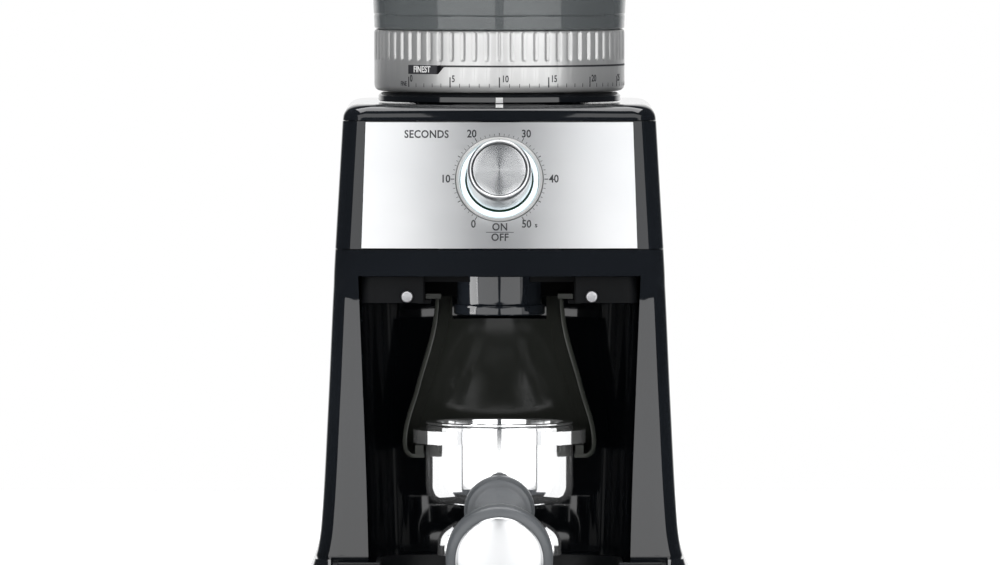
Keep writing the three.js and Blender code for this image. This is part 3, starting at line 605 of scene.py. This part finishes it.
def lower_housing():
    shell = form("lower_housing_fine", smooth_rows(COLUMN, 60))
    join(shell, form("platform", smooth_rows(PLATFORM, 14)))
    hollow = form("hollow", smooth_rows(COLUMN, 24), WALL, 0, 3)
    low_rows = [(min(z, DECK_Z - WALL), hx, front, rear) for z, hx, front, rear in PLATFORM[:4]]
    low_rows.append((DECK_Z - WALL, *PLATFORM[4][1:]))
    join(hollow, form("hollow_low", low_rows, WALL, 2))
    deck = block("deck", (-TRAY_HALF - WALL, -150, 11.6), (TRAY_HALF + WALL, TRAY_BACK + WALL, DECK_Z + 1))
    cut(hollow, bay_form("bay_wall", WALL, BAY_TOP + WALL), deck)
    cut(shell, hollow, bay_form("bay"))
    cut(shell, slab("tray_recess", tray_outline(-0.5), 14.2, DECK_Z + 1),
        block("tray_mouth", (-TRAY_HALF - 0.5, -150, 14.2), (TRAY_HALF + 0.5, -90, DECK_Z + 1)),
        cylinder("outlet_hole", 17.2, BAY_TOP - 1, BAY_TOP + 5, (0, OUTLET_Y)),
        block("rear_window", (-REAR_PANEL[0], 80, REAR_PANEL[1]), (REAR_PANEL[0], 120, REAR_PANEL[2])),
        cylinder("gland_hole", 7, -110, -90, sides=40, matrix=rod_matrix(GLAND_X, 0, GLAND_Z)))
    finish_piece(shell, "lower_housing", edge=0.7, segments=3, angle=42)


def rear_cover():
    rows = smooth_rows(COLUMN, 60)
    cover = form("rear_cover_fine", rows)
    cut(cover, form("inner", rows, 0, 1, 1, -2.4))
    hx, z0, z1 = REAR_PANEL
    keep(cover, block("rear_blank", (-hx + GAP, 80, z0 + GAP), (hx - GAP, 120, z1 - GAP)))
    for row in range(6):
        z = 104 + row * 5
        cut(cover, block("vent", (-28, 80, z), (28, 120, z + 2.2)))
    finish_piece(cover, "rear_cover", edge=0.4, segments=2)


# ---------------------------------------------------------------- head, panel and top cover
DIAL_MATRIX = Matrix.Translation((0, DIAL_Y, DIAL_Z)) @ Matrix.Rotation(math.pi / 2 - PANEL_TILT, 4, "X")
PANEL_THICK = 1.2


def panel_blank(name, grow):
    rings = []
    for z, w in ((SEAM_LOW - 1 - grow, 57.9 + grow), (SEAM_HIGH + 1 + grow, 56.2 + grow)):
        rings.append([(-w, -100, z), (w, -100, z), (w, -50, z), (-w, -50, z)])
    return loft(name, rings)


def front_skin(name, depth):
    rows = smooth_rows(HEAD, 8)
    return cut(form(name, rows), form("behind", rows, 0, 1, 1, depth))


def upper_housing():
    rows = smooth_rows(HEAD, 12)
    shell = cut(form("upper_housing_fine", rows), form("inside", rows, WALL, 2, 2))
    cut(shell, cut(panel_blank("pocket", 0.12), form("pocket_floor", rows, 0, 3, 3, PANEL_THICK + GAP)),
        cylinder("dial_hole", 18.8, -14, 4, matrix=DIAL_MATRIX))
    finish_piece(shell, "upper_housing", edge=0.5, segments=3)


def front_panel():
    panel = keep(front_skin("front_panel_fine", PANEL_THICK), panel_blank("blank", 0))
    keep(panel, block("trim", (-90, -120, SEAM_LOW + GAP), (90, 0, SEAM_HIGH - GAP)))
    cut(panel, cylinder("panel_hole", 18.6, -6, 6, sides=96, matrix=DIAL_MATRIX))
    finish_piece(panel, "front_panel", edge=0.25, segments=2)


def top_cover():
    cover = form("top_cover_fine", smooth_rows(SHOULDERS, 14))
    cut(cover, loft("under", [plan_ring((SHOULDERS[0][0] - 1, *SHOULDERS[0][1:]), 4),
                              plan_ring((COVER_TOP - WALL, *SHOULDERS[1][1:]), 4)]),
        cylinder("chamber_hole", 36.2, 205, 225, sides=96))
    finish_piece(cover, "top_cover", edge=0.3, segments=2)


def panel_surface(x, z):
    """Front of the panel at x, z: tilted back, and crowned across."""
    half = 69 + (66.1 - 69) * (z - SEAM_LOW) / PANEL_RISE - FRONT_RADIUS
    return FRONT_LOW + PANEL_LEAN * (z - SEAM_LOW) / PANEL_RISE + CROWN * (x / half) ** 2


INK_PROUD = 0.05
INK_THICK = 0.09
BOLD = 0.021


def text_outline(name, words, size, spacing=1.0):
    """Flat lettering as points and faces in mm, its middle at the origin."""
    curve = bpy.data.curves.new(name, "FONT")
    curve.body = words
    curve.size = size
    curve.space_character = spacing
    curve.align_x = "CENTER"
    curve.align_y = "CENTER"
    curve.offset = BOLD * size
    curve.resolution_u = 3
    source = bpy.data.objects.new(name, curve)
    bpy.context.scene.collection.objects.link(source)
    mesh = bpy.data.meshes.new_from_object(source.evaluated_get(bpy.context.evaluated_depsgraph_get()))
    points = [(v.co.x, v.co.y) for v in mesh.vertices]
    faces = [tuple(p.vertices) for p in mesh.polygons]
    bpy.data.objects.remove(source)
    return points, faces


def strip(x0, y0, x1, y1, width):
    """A thin mark from one point to another, as points and one face."""
    length = math.hypot(x1 - x0, y1 - y0)
    nx, ny = -(y1 - y0) / length * width / 2, (x1 - x0) / length * width / 2
    return [(x0 + nx, y0 + ny), (x1 + nx, y1 + ny), (x1 - nx, y1 - ny), (x0 - nx, y0 - ny)], [(0, 1, 2, 3)]


def gathered(shapes):
    points, faces = [], []
    for more_points, more_faces in shapes:
        base = len(points)
        points += more_points
        faces += [tuple(base + i for i in face) for face in more_faces]
    return points, faces


def moved(shape, dx, dy, narrow=1.0):
    return [(x * narrow + dx, y + dy) for x, y in shape[0]], shape[1]


def printed(name, shape, place, body, material, slot):
    """Thin ink laid on a surface; place maps a flat point and a height above it to a design point."""
    points, faces = shape
    top = [place(x, y, INK_PROUD) for x, y in points]
    under = [place(x, y, INK_PROUD - INK_THICK) for x, y in points]
    count = len(points)
    edges = {}
    for face in faces:
        for a, b in zip(face, (*face[1:], face[0])):
            edges[(a, b)] = True
    rims = [(a, b, b + count, a + count) for a, b in edges if (b, a) not in edges]
    made = build(name, top + under, faces + [tuple(i + count for i in reversed(f)) for f in faces] + rims)
    return detail(made, body, slot, material)


def on_panel(x, up, proud):
    """Panel lettering: x across, up along the panel from the dial's centre."""
    z = DIAL_Z + up * math.cos(PANEL_TILT)
    return (x, panel_surface(x, z) - proud, z)


TICK_IN = 18.9
FONT = 4.7


def dial_point(seconds, radius):
    angle = math.radians(-150 + 6 * seconds)
    return radius * math.sin(angle), radius * math.cos(angle)


def panel_print():
    shapes = []
    for seconds in range(51):
        reach = 20.5 if seconds % 10 == 0 else 20.1 if seconds % 5 == 0 else 19.8
        width = 0.34 if seconds % 5 == 0 else 0.2
        shapes.append(strip(*dial_point(seconds, TICK_IN), *dial_point(seconds, reach), width))
    places = {0: (-10.9, -19.6), 10: (-22.6, 0.0), 20: (-11.6, 19.6), 30: (11.3, 19.6), 40: (22.9, 0.0),
              50: (11.4, -19.6)}
    for value, (x, up) in places.items():
        shapes.append(moved(text_outline("number", str(value), FONT), x, up, 0.86))
    shapes.append(moved(text_outline("unit", "s", 3.0), 15.4, -20.0))
    shapes.append(moved(text_outline("title", "SECONDS", 4.7, 1.05), -30.6, 19.4, 0.86))
    shapes.append(moved(text_outline("on", "ON", 4.5, 1.05), 0.2, -20.9, 0.9))
    shapes.append(moved(text_outline("off", "OFF", 4.5, 1.05), 0.2, -25.4, 0.9))
    shapes.append(strip(-5.6, -23.1, 6.0, -23.1, 0.25))
    printed("panel_print", gathered(shapes), on_panel, "housing", INK_DARK, "dark_grey")


# ---------------------------------------------------------------- dial
def dial():
    surround = turned("dial_surround_fine", [
        (16.7, -5), (18.35, -5), (18.35, 0.2), (18.1, 0.45), (17.2, 0.3), (16.7, -0.2)],
        matrix=DIAL_MATRIX)
    finish_piece(surround, "dial_surround", material=MATERIALS["silver"])
    ring = turned("light_ring_fine", [
        (14.4, -4), (16.35, -4), (16.35, 0.1), (16.1, 0.5), (15.4, 0.7), (14.7, 0.6), (14.4, 0.2)],
        matrix=DIAL_MATRIX)
    finish_piece(ring, "light_ring")
    outline = [
        (3.35, 0.9), (13.3, 0.9), (13.7, 1.3), (13.7, 2.2), (13.45, 2.7), (13.4, 13.6), (13.3, 14.5),
        (12.9, 15.3), (12.3, 15.75), (11.9, 15.8), (11.6, 15.6), (11.5, 15.2), (11.5, 9.4), (6.2, 9.4),
        (6.2, 6.2), (3.35, 6.2)]
    knob = turned("dial_knob_fine", outline, sides=128, matrix=DIAL_MATRIX)
    cut(knob, block("notch", (-0.35, 12.9, 12.8), (0.35, 14, 17), matrix=DIAL_MATRIX))
    finish_piece(knob, "dial_knob")
    button()


def button():
    """The spun face: its own uv rings let the brushed glint run round the centre."""
    outline = [(0, 9.9), (5.2, 9.9), (5.2, 12.2), (11.15, 12.2), (11.15, 14.9), (10.95, 15.25)]
    outline += [(r, 15.3) for r in (10.6, 8, 5.5, 3, 1.5, 0.6, 0)]
    sides = 96
    made = turned("start_button_fine", outline, sides=sides, matrix=DIAL_MATRIX)
    finish_piece(made, "start_button", material=SPUN)
    uv = made.data.uv_layers.new(name="spin")
    inverse = DIAL_MATRIX.inverted()
    for face in made.data.polygons:
        angles = []
        for loop in face.loop_indices:
            co = made.data.vertices[made.data.loops[loop].vertex_index].co
            spot = inverse @ Vector((co.x * 1000, (co.y - AXIS_Y) * 1000, co.z * 1000))
            angles.append((loop, math.atan2(spot.y, spot.x) / (2 * math.pi),
                math.hypot(spot.x, spot.y) / 12))
        middle = inverse @ Vector((face.center.x * 1000, (face.center.y - AXIS_Y) * 1000,
            face.center.z * 1000))
        base = math.atan2(middle.y, middle.x) / (2 * math.pi)
        for loop, turn, reach in angles:
            turn = base if reach < 1e-4 else turn
            uv.data[loop].uv = (turn - round(turn - base), reach)


# ---------------------------------------------------------------- collar and hopper
RIBS = 64
RIB_DEPTH = 0.75
RIB_Z0 = 236.4
SETTING_STEP = 4.6
COLLAR_REST = 10
POINTER_HALF = 1.55


def rib_profile(angle):
    """0 on a rib's crown, 1 at the bottom of the narrow groove beside it."""
    phase = (angle * RIBS / (2 * math.pi)) % 1.0
    away = min(phase, 1 - phase) * 2
    return max(0.0, 1 - away / 0.42) ** 0.8 if away < 0.42 else 0.0


def grind_collar():
    def radius(r, z, angle):
        if r < COLLAR_R - 1.2 or z < RIB_Z0 + 0.2 or z > COLLAR_Z1 - 0.4:
            return r
        fade = min((z - RIB_Z0) / 0.9, (COLLAR_Z1 - 0.3 - z) / 0.6, 1.0)
        return r - RIB_DEPTH * rib_profile(angle) * max(fade, 0)
    z0, z1 = COLLAR_Z0, COLLAR_Z1
    outline = [
        (40.4, z0), (50.6, z0), (51.8, z0 + 0.35), (52.7, z0 + 1.1), (53.1, z0 + 2.2),
        (COLLAR_R, z0 + 3.4), (COLLAR_R, RIB_Z0), (COLLAR_R, RIB_Z0 + 0.3), (COLLAR_R, RIB_Z0 + 0.9),
        (COLLAR_R, RIB_Z0 + 3), (COLLAR_R, 243), (COLLAR_R, z1 - 1.5), (COLLAR_R - 0.05, z1 - 0.9),
        (COLLAR_R - 0.3, z1 - 0.35), (COLLAR_R - 0.8, z1), (40.4, z1)]
    collar = turned("grind_collar_fine", outline, sides=RIBS * 10, radius_at=radius)
    finish_piece(collar, "grind_collar")
    collar_print()


def on_collar(degrees, z, proud):
    angle = math.radians(degrees)
    reach = COLLAR_R + proud
    return (reach * math.sin(angle), -reach * math.cos(angle), z)


def collar_shape(shape, degrees, z):
    per_mm = 360 / (2 * math.pi * COLLAR_R)
    return [(degrees + x * per_mm, z + y) for x, y in shape[0]], shape[1]


def fine_strip(x0, x1, low, high, pieces=1):
    """A band between two angles that follows the collar's curve."""
    points, faces = [], []
    for i in range(pieces + 1):
        x = x0 + (x1 - x0) * i / pieces
        points += [(x, low), (x, high)]
    for i in range(pieces):
        faces.append((2 * i, 2 * i + 2, 2 * i + 3, 2 * i + 1))
    return points, faces


def collar_print():
    zero = -COLLAR_REST * SETTING_STEP
    shapes = []
    for value in range(61):
        x = zero + value * SETTING_STEP
        long_mark = value % 5 == 0
        high = 229.9 if long_mark else 227.2
        half = 0.28 if long_mark else 0.13
        shapes.append(fine_strip(x - half, x + half, 225.6, high))
        if long_mark:
            aside = 1.5 + 0.95 * (len(str(value)) - 1)
            number = moved(text_outline("number", str(value), 4.0), aside, 0, 0.76)
            shapes.append(collar_shape(number, x, 229.1))
    shapes.append(collar_shape(moved(text_outline("fine", "FINE", 2.7), 0, 0, 0.72), zero - 3.5, 226.9))
    band = zero - 0.3
    shapes.append(fine_strip(band, band + 17.2, 231.1, 234.9, 20))
    slant = [(band + 17.2, 231.1), (band + 20.2, 234.1), (band + 20.2, 234.9), (band + 17.2, 234.9)]
    shapes.append((slant, [(0, 1, 2, 3)]))
    shapes.append(fine_strip(band + 20.2, band + 150, 234.1, 234.9, 120))
    printed("collar_print", gathered(shapes), on_collar, "collar", INK_DARK, "dark_grey")
    label = collar_shape(moved(text_outline("label", "FINEST", 3.7, 1.0), 0, 0, 0.8), band + 8.3, 233.0)

    def over_band(x, z, up):
        return on_collar(x, z, up + 0.1)
    printed("collar_label", label, over_band, "collar", INK_WHITE, "silver")


def neck_and_pointer():
    z0 = COVER_TOP + GAP
    neck = turned("neck_ring_fine", [
        (38.5, z0), (51, z0), (51.5, z0 + 0.4), (51.5, z0 + 2.4), (50.7, z0 + 3.4), (49.6, 222.9),
        (38.5, 222.9)], sides=128)
    finish_piece(neck, "neck_ring")
    points = [(x, z) for z in (z0 + 0.1, z0 + 2.4) for x in (-POINTER_HALF, POINTER_HALF)]
    mark = points, [(0, 1, 3, 2)]

    def on_neck(x, z, up):
        return (x, -math.sqrt(51.5**2 - x * x) - up, z)
    printed("pointer_mark", mark, on_neck, "housing", INK_WHITE, "silver")
    rows = [(COVER_TOP, -56.9), (COVER_TOP, -57.8), (218, -59.8), (217.3, -61.0)]
    top = [(x, y, z + 0.06) for z, y in rows for x in (-POINTER_HALF, POINTER_HALF)]
    under = [(x, y + 0.06, z - 0.06) for x, y, z in top]
    quads = [(2 * i, 2 * i + 1, 2 * i + 3, 2 * i + 2) for i in range(3)]
    faces = quads + [tuple(j + 8 for j in reversed(q)) for q in quads]
    rim = [0, 2, 4, 6, 7, 5, 3, 1]
    faces += [(a, b, b + 8, a + 8) for a, b in zip(rim, rim[1:] + rim[:1])]
    detail(build("pointer_mark_cover", top + under, faces), "housing", "silver", INK_WHITE)


def hopper():
    z0 = COLLAR_Z1 + GAP
    outline = [
        (24, 229), (24, 259), (50.6, 281), (50.6, z0 + 8), (50.6, z0 + 0.3), (50.9, z0), (52.6, z0),
        (53.2, z0 + 0.5), (53.4, z0 + 5.6), (53.1, z0 + 6.0), (53.5, z0 + 6.5), (55.1, 290),
        (HOPPER_TOP_R, HOPPER_RIM_Z - 0.8), (56.4, HOPPER_RIM_Z), (54.7, HOPPER_RIM_Z),
        (54.4, HOPPER_RIM_Z - 0.5), (53.3, 308), (52.3, 286), (50.5, 283), (21.5, 261.4), (21.5, 229)]
    finish_piece(turned("hopper_fine", outline, sides=128), "hopper")

    def fluted(r, z, angle):
        return r - 0.45 * max(0.0, math.cos(14 * angle)) if 258 < z < 272.5 and r > 5 else r
    gate = turned("hopper_gate_fine", [
        (0, 250), (20.5, 250), (20.9, 250.4), (20.9, 252.8), (20.2, 253.4), (13.4, 256.6), (12.8, 257.6),
        (12.4, 271), (12, 272.8), (10.6, 274), (0, 274)], radius_at=fluted, sides=112)
    finish_piece(gate, "hopper_gate")
    top = TOTAL_HEIGHT
    rim = HOPPER_RIM_Z
    lid = turned("hopper_lid_fine", [
        (0, 340), (49.6, 340), (50, 339.6), (50, rim - 8), (53.3, rim - 8), (53.6, rim - 7.6),
        (53.8, rim + GAP), (57.2, rim + GAP), (57.6, rim + 0.8), (57.8, 337), (57.3, 340), (56, 342.6),
        (54, 344), (50, 344.8), (30, 345.8), (25.5, 346.2), (24, 347.4), (23, top - 4),
        (22.5, top - 2.2), (21.3, top - 0.7), (19.4, top), (0, top)], sides=128)
    finish_piece(lid, "hopper_lid")


# ---------------------------------------------------------------- bay: tray, outlet, mount, cradle
def grinds_tray():
    tray = slab("grinds_tray_fine", tray_outline(0), 14.6, TRAY_RIM)
    cut(tray, slab("tray_inside", tray_outline(2), 16.6, TRAY_RIM + 1))
    finish_piece(tray, "grinds_tray", edge=0.6, segments=3)


def outlet():
    chute = turned("outlet_chute_fine", [
        (13.4, 130.3), (13.7, 130), (18.7, 130), (19.2, 130.5), (19.2, 133.6), (18.9, 134.1),
        (18.1, 134.4), (17.85, 134.9), (17.85, 146.2), (17.5, 146.6), (16.7, 146.6), (16.7, 150.6),
        (13.4, 150.6)],
        (0, OUTLET_Y), 128)
    finish_piece(chute, "outlet_chute")

    def rim(name, inset, z0, z1):
        return loft(name, [plan_ring((z, 58.4, -72, -3 - GAP), inset, 6, BAY_CORNER, 1) for z in (z0, z1)])
    mount = cut(rim("outlet_mount_fine", 0, 135.6, BAY_TOP - GAP), rim("mount_inside", 3, 130, 144))
    for side in (-1, 1):
        a, b = sorted((side * 31.4, side * 34.4))
        c, d = sorted((side * 28.9, side * 32))
        rail = block("rail", (a, -62, 134.9), (b, -20, 145))
        join(mount, rail, block("lip", (c, -62, 134.9), (d, -20, 136.5)))
        cut(mount, cylinder("screw_hole", 1.8, 66, 75, sides=24, matrix=rod_matrix(side * 38.8, 0, 138.3)))
    cut(mount, cylinder("chute_hole", 18.3, 130, 150, (0, OUTLET_Y)),
        block("mouth", (-32, -80, 130), (32, -60, 150)))
    # The mount takes the darker, duller black that paints in the shade under the visor.
    finish_piece(mount, "outlet_mount", material=MOUNT_BLACK_PAINTED_SHADE, edge=0.4, segments=2, angle=50)
    for side, x in (("left", -38.8), ("right", 38.8)):
        screw = turned(f"mount_screw_{side}_fine", [
            (0, 67), (1.5, 67), (1.5, 72.3), (2.6, 72.3), (2.6, 73.3), (2.2, 73.9), (0, 74)],
            sides=40, matrix=rod_matrix(x, 0, 138.3))
        cut(screw, block("slot", (x - 0.3, -75, 136.9), (x + 0.3, -73.3, 139.7)),
            block("slot", (x - 1.4, -75, 138), (x + 1.4, -73.3, 138.6)))
        finish_piece(screw, f"mount_screw_{side}")


CRADLE_ROWS = [
    (70.2, 38, 0, -10), (72.5, 40.2, 0, -9), (77, 40.8, 0, -8.5), (100, 35.2, 0, -11),
    (128, 27.9, 0, -18), (137, 26.9, 0, -20)]


def cradle_form(name, inset, rows, front):
    return loft(name, [plan_ring((z, hx, front, rear), inset, 3, 24, 0) for z, hx, _, rear in rows])


def cradle():
    rows = smooth_rows(CRADLE_ROWS, 40)
    inner = [(71.8, 38.6, 0, CRADLE_ROWS[0][3]), *CRADLE_ROWS[1:5], (141, *CRADLE_ROWS[5][1:])]
    shell = cradle_form("cradle_fine", 0, rows, -64)
    cut(shell, cradle_form("cradle_inside", 1.8, smooth_rows(inner, 40), -90),
        block("belly", (-31.6, -100, 60), (31.6, -13, 76)))
    for side in (-1, 1):
        a, b = sorted((side * 32, side * 35.4))
        c, d = sorted((side * 24.6, side * 31))
        join(shell, block("ledge", (a, -62, 71), (b, -24, 75.3)),
            block("flange", (c, -60, 136.9), (d, -24, 139)))
    cut(shell, block("back_slot", (-19.9, -60, 127), (19.9, 0, 145)))
    finish_piece(shell, "cradle", material=CRADLE_SMOKE, edge=0.45, segments=3, angle=40)


# ---------------------------------------------------------------- portafilter
HANDLE_TURN = (HANDLE_END - HANDLE_START).to_track_quat("Z", "Y")
HANDLE_MATRIX = Matrix.Translation(HANDLE_START) @ HANDLE_TURN.to_matrix().to_4x4()


def swept_tube(name, path, radius, sides=28):
    """A round tube along a list of points that lie in one upright plane."""
    rings = []
    for i, point in enumerate(path):
        ahead = Vector(path[min(i + 1, len(path) - 1)]) - Vector(path[max(i - 1, 0)])
        across = Vector((0, 1, 0))
        other = ahead.normalized().cross(across)
        rings.append([tuple(Vector(point) + radius * (math.cos(2 * math.pi * k / sides) * across
                      + math.sin(2 * math.pi * k / sides) * other)) for k in range(sides)])
    return loft(name, rings)


LUG_R = 36.4
LUG_INNER = 19


def portafilter():
    bowl = turned("portafilter_body_fine", [
        (0, 45.6), (8.6, 45.6), (9, 46), (9, 50), (24, 50), (27, 50.5), (29.2, 51.9), (30.6, 54.2),
        (BASKET_R, 57.4), (BASKET_R, 82.6), (30.8, 83.2), (30.3, RIM_Z - 1.3), (0, RIM_Z - 1.3)],
        (0, OUTLET_Y), 128)
    lugs = cylinder("lugs", LUG_R, 75.9, 81.5, (0, OUTLET_Y), 128)
    join(bowl, cut(lugs, block("between", (-LUG_INNER, OUTLET_Y - 40, 70), (LUG_INNER, OUTLET_Y + 40, 90))))
    join(bowl, turned("neck", [(0, -20), (9.2, -20), (9.2, 12), (0, 12)], sides=64, matrix=HANDLE_MATRIX))
    inside = [(0, 53), (24.5, 53), (27.4, 54.6), (28.7, 58), (28.7, 90), (0, 90)]
    cut(bowl, turned("bowl_inside", inside, (0, OUTLET_Y), 128))
    finish_piece(bowl, "portafilter_body", edge=0.7, segments=3, angle=40)
    basket = turned("portafilter_basket_fine", [
        (0, 56.5), (23, 56.5), (25.4, 57.8), (26.6, 61), (27.6, RIM_Z - 1), (30.8, RIM_Z - 1),
        (BASKET_R, RIM_Z - 0.7), (BASKET_R, RIM_Z - 0.3), (30.8, RIM_Z), (27.2, RIM_Z),
        (26.6, RIM_Z - 0.5), (25.6, 61.6), (24.6, 58.9), (22.6, 57.7), (0, 57.7)], (0, OUTLET_Y), 128)
    finish_piece(basket, "portafilter_basket")
    spout()
    handle()


def spout():
    path = []
    for i in range(41):
        angle = math.pi * i / 40
        flat = math.copysign(abs(math.cos(angle)) ** 0.8, math.cos(angle))
        path.append((-20 * flat, OUTLET_Y, 33.5 + 5.5 * math.sin(angle) ** 1.2))
    path = [(-20.3, OUTLET_Y, 28), (-20.2, OUTLET_Y, 30.8), *path,
            (20.2, OUTLET_Y, 30.8), (20.3, OUTLET_Y, 28)]
    tube = swept_tube("portafilter_spout_fine", path, 5.9)
    join(tube, cylinder("spout_nut", 8.5, 38, 45.2, (0, OUTLET_Y), 8))
    for x in (-20.3, 20.3):
        cut(tube, cylinder("drip_hole", 3.6, 26, 33, (x, OUTLET_Y), 32))
    finish_piece(tube, "portafilter_spout", edge=0.35, segments=2, angle=45)


RING_START = 101
SPIGOT_R = 14


def handle():
    ferrule = turned("handle_ferrule_fine", [
        (9.6, -4.5), (14.4, -4.5), (14.8, -4.1), (14.8, -1.3), (14.2, -0.8), (14.2, 0), (13.4, 1.4),
        (12.2, 2), (9.6, 2)], matrix=HANDLE_MATRIX)
    finish_piece(ferrule, "handle_ferrule")
    end = HANDLE_LENGTH
    grip = turned("portafilter_handle_fine", [
        (9.55, 2.4), (11.1, 2.4), (11.4, 2.8), (11.0, 10), (11.0, 18), (11.6, 30), (12.7, 42),
        (14.2, 56), (16.0, 70), (18.2, 84), (20.0, 95), (20.8, RING_START - 0.6), (20.4, RING_START),
        (SPIGOT_R, RING_START), (SPIGOT_R, end - 3), (0, end - 3), (0, 14), (9.55, 14)],
        sides=96, matrix=HANDLE_MATRIX)
    finish_piece(grip, "portafilter_handle")
    ring_in, ring_start = SPIGOT_R + GAP, RING_START + GAP
    ring = turned("handle_ring_fine", [
        (ring_in, ring_start), (21.2, ring_start), (21.7, ring_start + 0.5), (22, ring_start + 1.8),
        (22, end - 5.8), (21.6, end - 4.6), (20.6, end - 3.7), (19, end - 3.1), (18.4, end - 3),
        (ring_in, end - 3)],
        sides=96, matrix=HANDLE_MATRIX)
    finish_piece(ring, "handle_ring")
    cap = turned("handle_cap_fine", [
        (0, end - 2.6), (17.6, end - 2.6), (18, end - 2.3), (17.8, end - 1.9), (17, end - 1.35),
        (13, end - 0.7), (8, end - 0.25), (4, end - 0.06), (0, end)], sides=96, matrix=HANDLE_MATRIX)
    finish_piece(cap, "handle_cap")


# ---------------------------------------------------------------- small outer pieces and inner CAD nodes
def feet_and_gland():
    for i, (x, y) in enumerate(((-62, -84), (62, -84), (-62, 82), (62, 82)), 1):
        foot = turned(f"foot_{i}_fine", [
            (0, 0.5), (4, 0.5), (4.6, 0), (8.2, 0), (8.8, 0.3), (9, 0.9), (9, 4.05), (0, 4.05)], (x, y), 48)
        finish_piece(foot, f"foot_{i}")
    outline = [
        (3.6, -112), (3.6, -95), (6.5, -95), (6.5, -104.8), (9.1, -104.8), (9.5, -105.2), (9.5, -106.6),
        (9.1, -107), (6.6, -107), (5.5, -108), (5.1, -109.4), (5.4, -109.6), (4.9, -112)]
    gland = turned("cord_gland_fine", outline, sides=48, matrix=rod_matrix(GLAND_X, 0, GLAND_Z))
    finish_piece(gland, "cord_gland")


def finish_cad_nodes():
    """The plain inner pieces keep their CAD shapes and take a finish."""
    for name, node in NODES.items():
        node.data.materials.clear()
        node.data.materials.append(MATERIALS[SLOT_OF[name]])


def squash_button_spring():
    """Gives the button spring a mesh of its own; nothing here shortens it as the button is pressed."""
    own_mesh(NODES["button_spring"])


finish_cad_nodes()
squash_button_spring()
lower_housing()
rear_cover()
upper_housing()
front_panel()
panel_print()
top_cover()
dial()
grind_collar()
neck_and_pointer()
hopper()
grinds_tray()
outlet()
cradle()
portafilter()
feet_and_gland()
make_metal_cards()
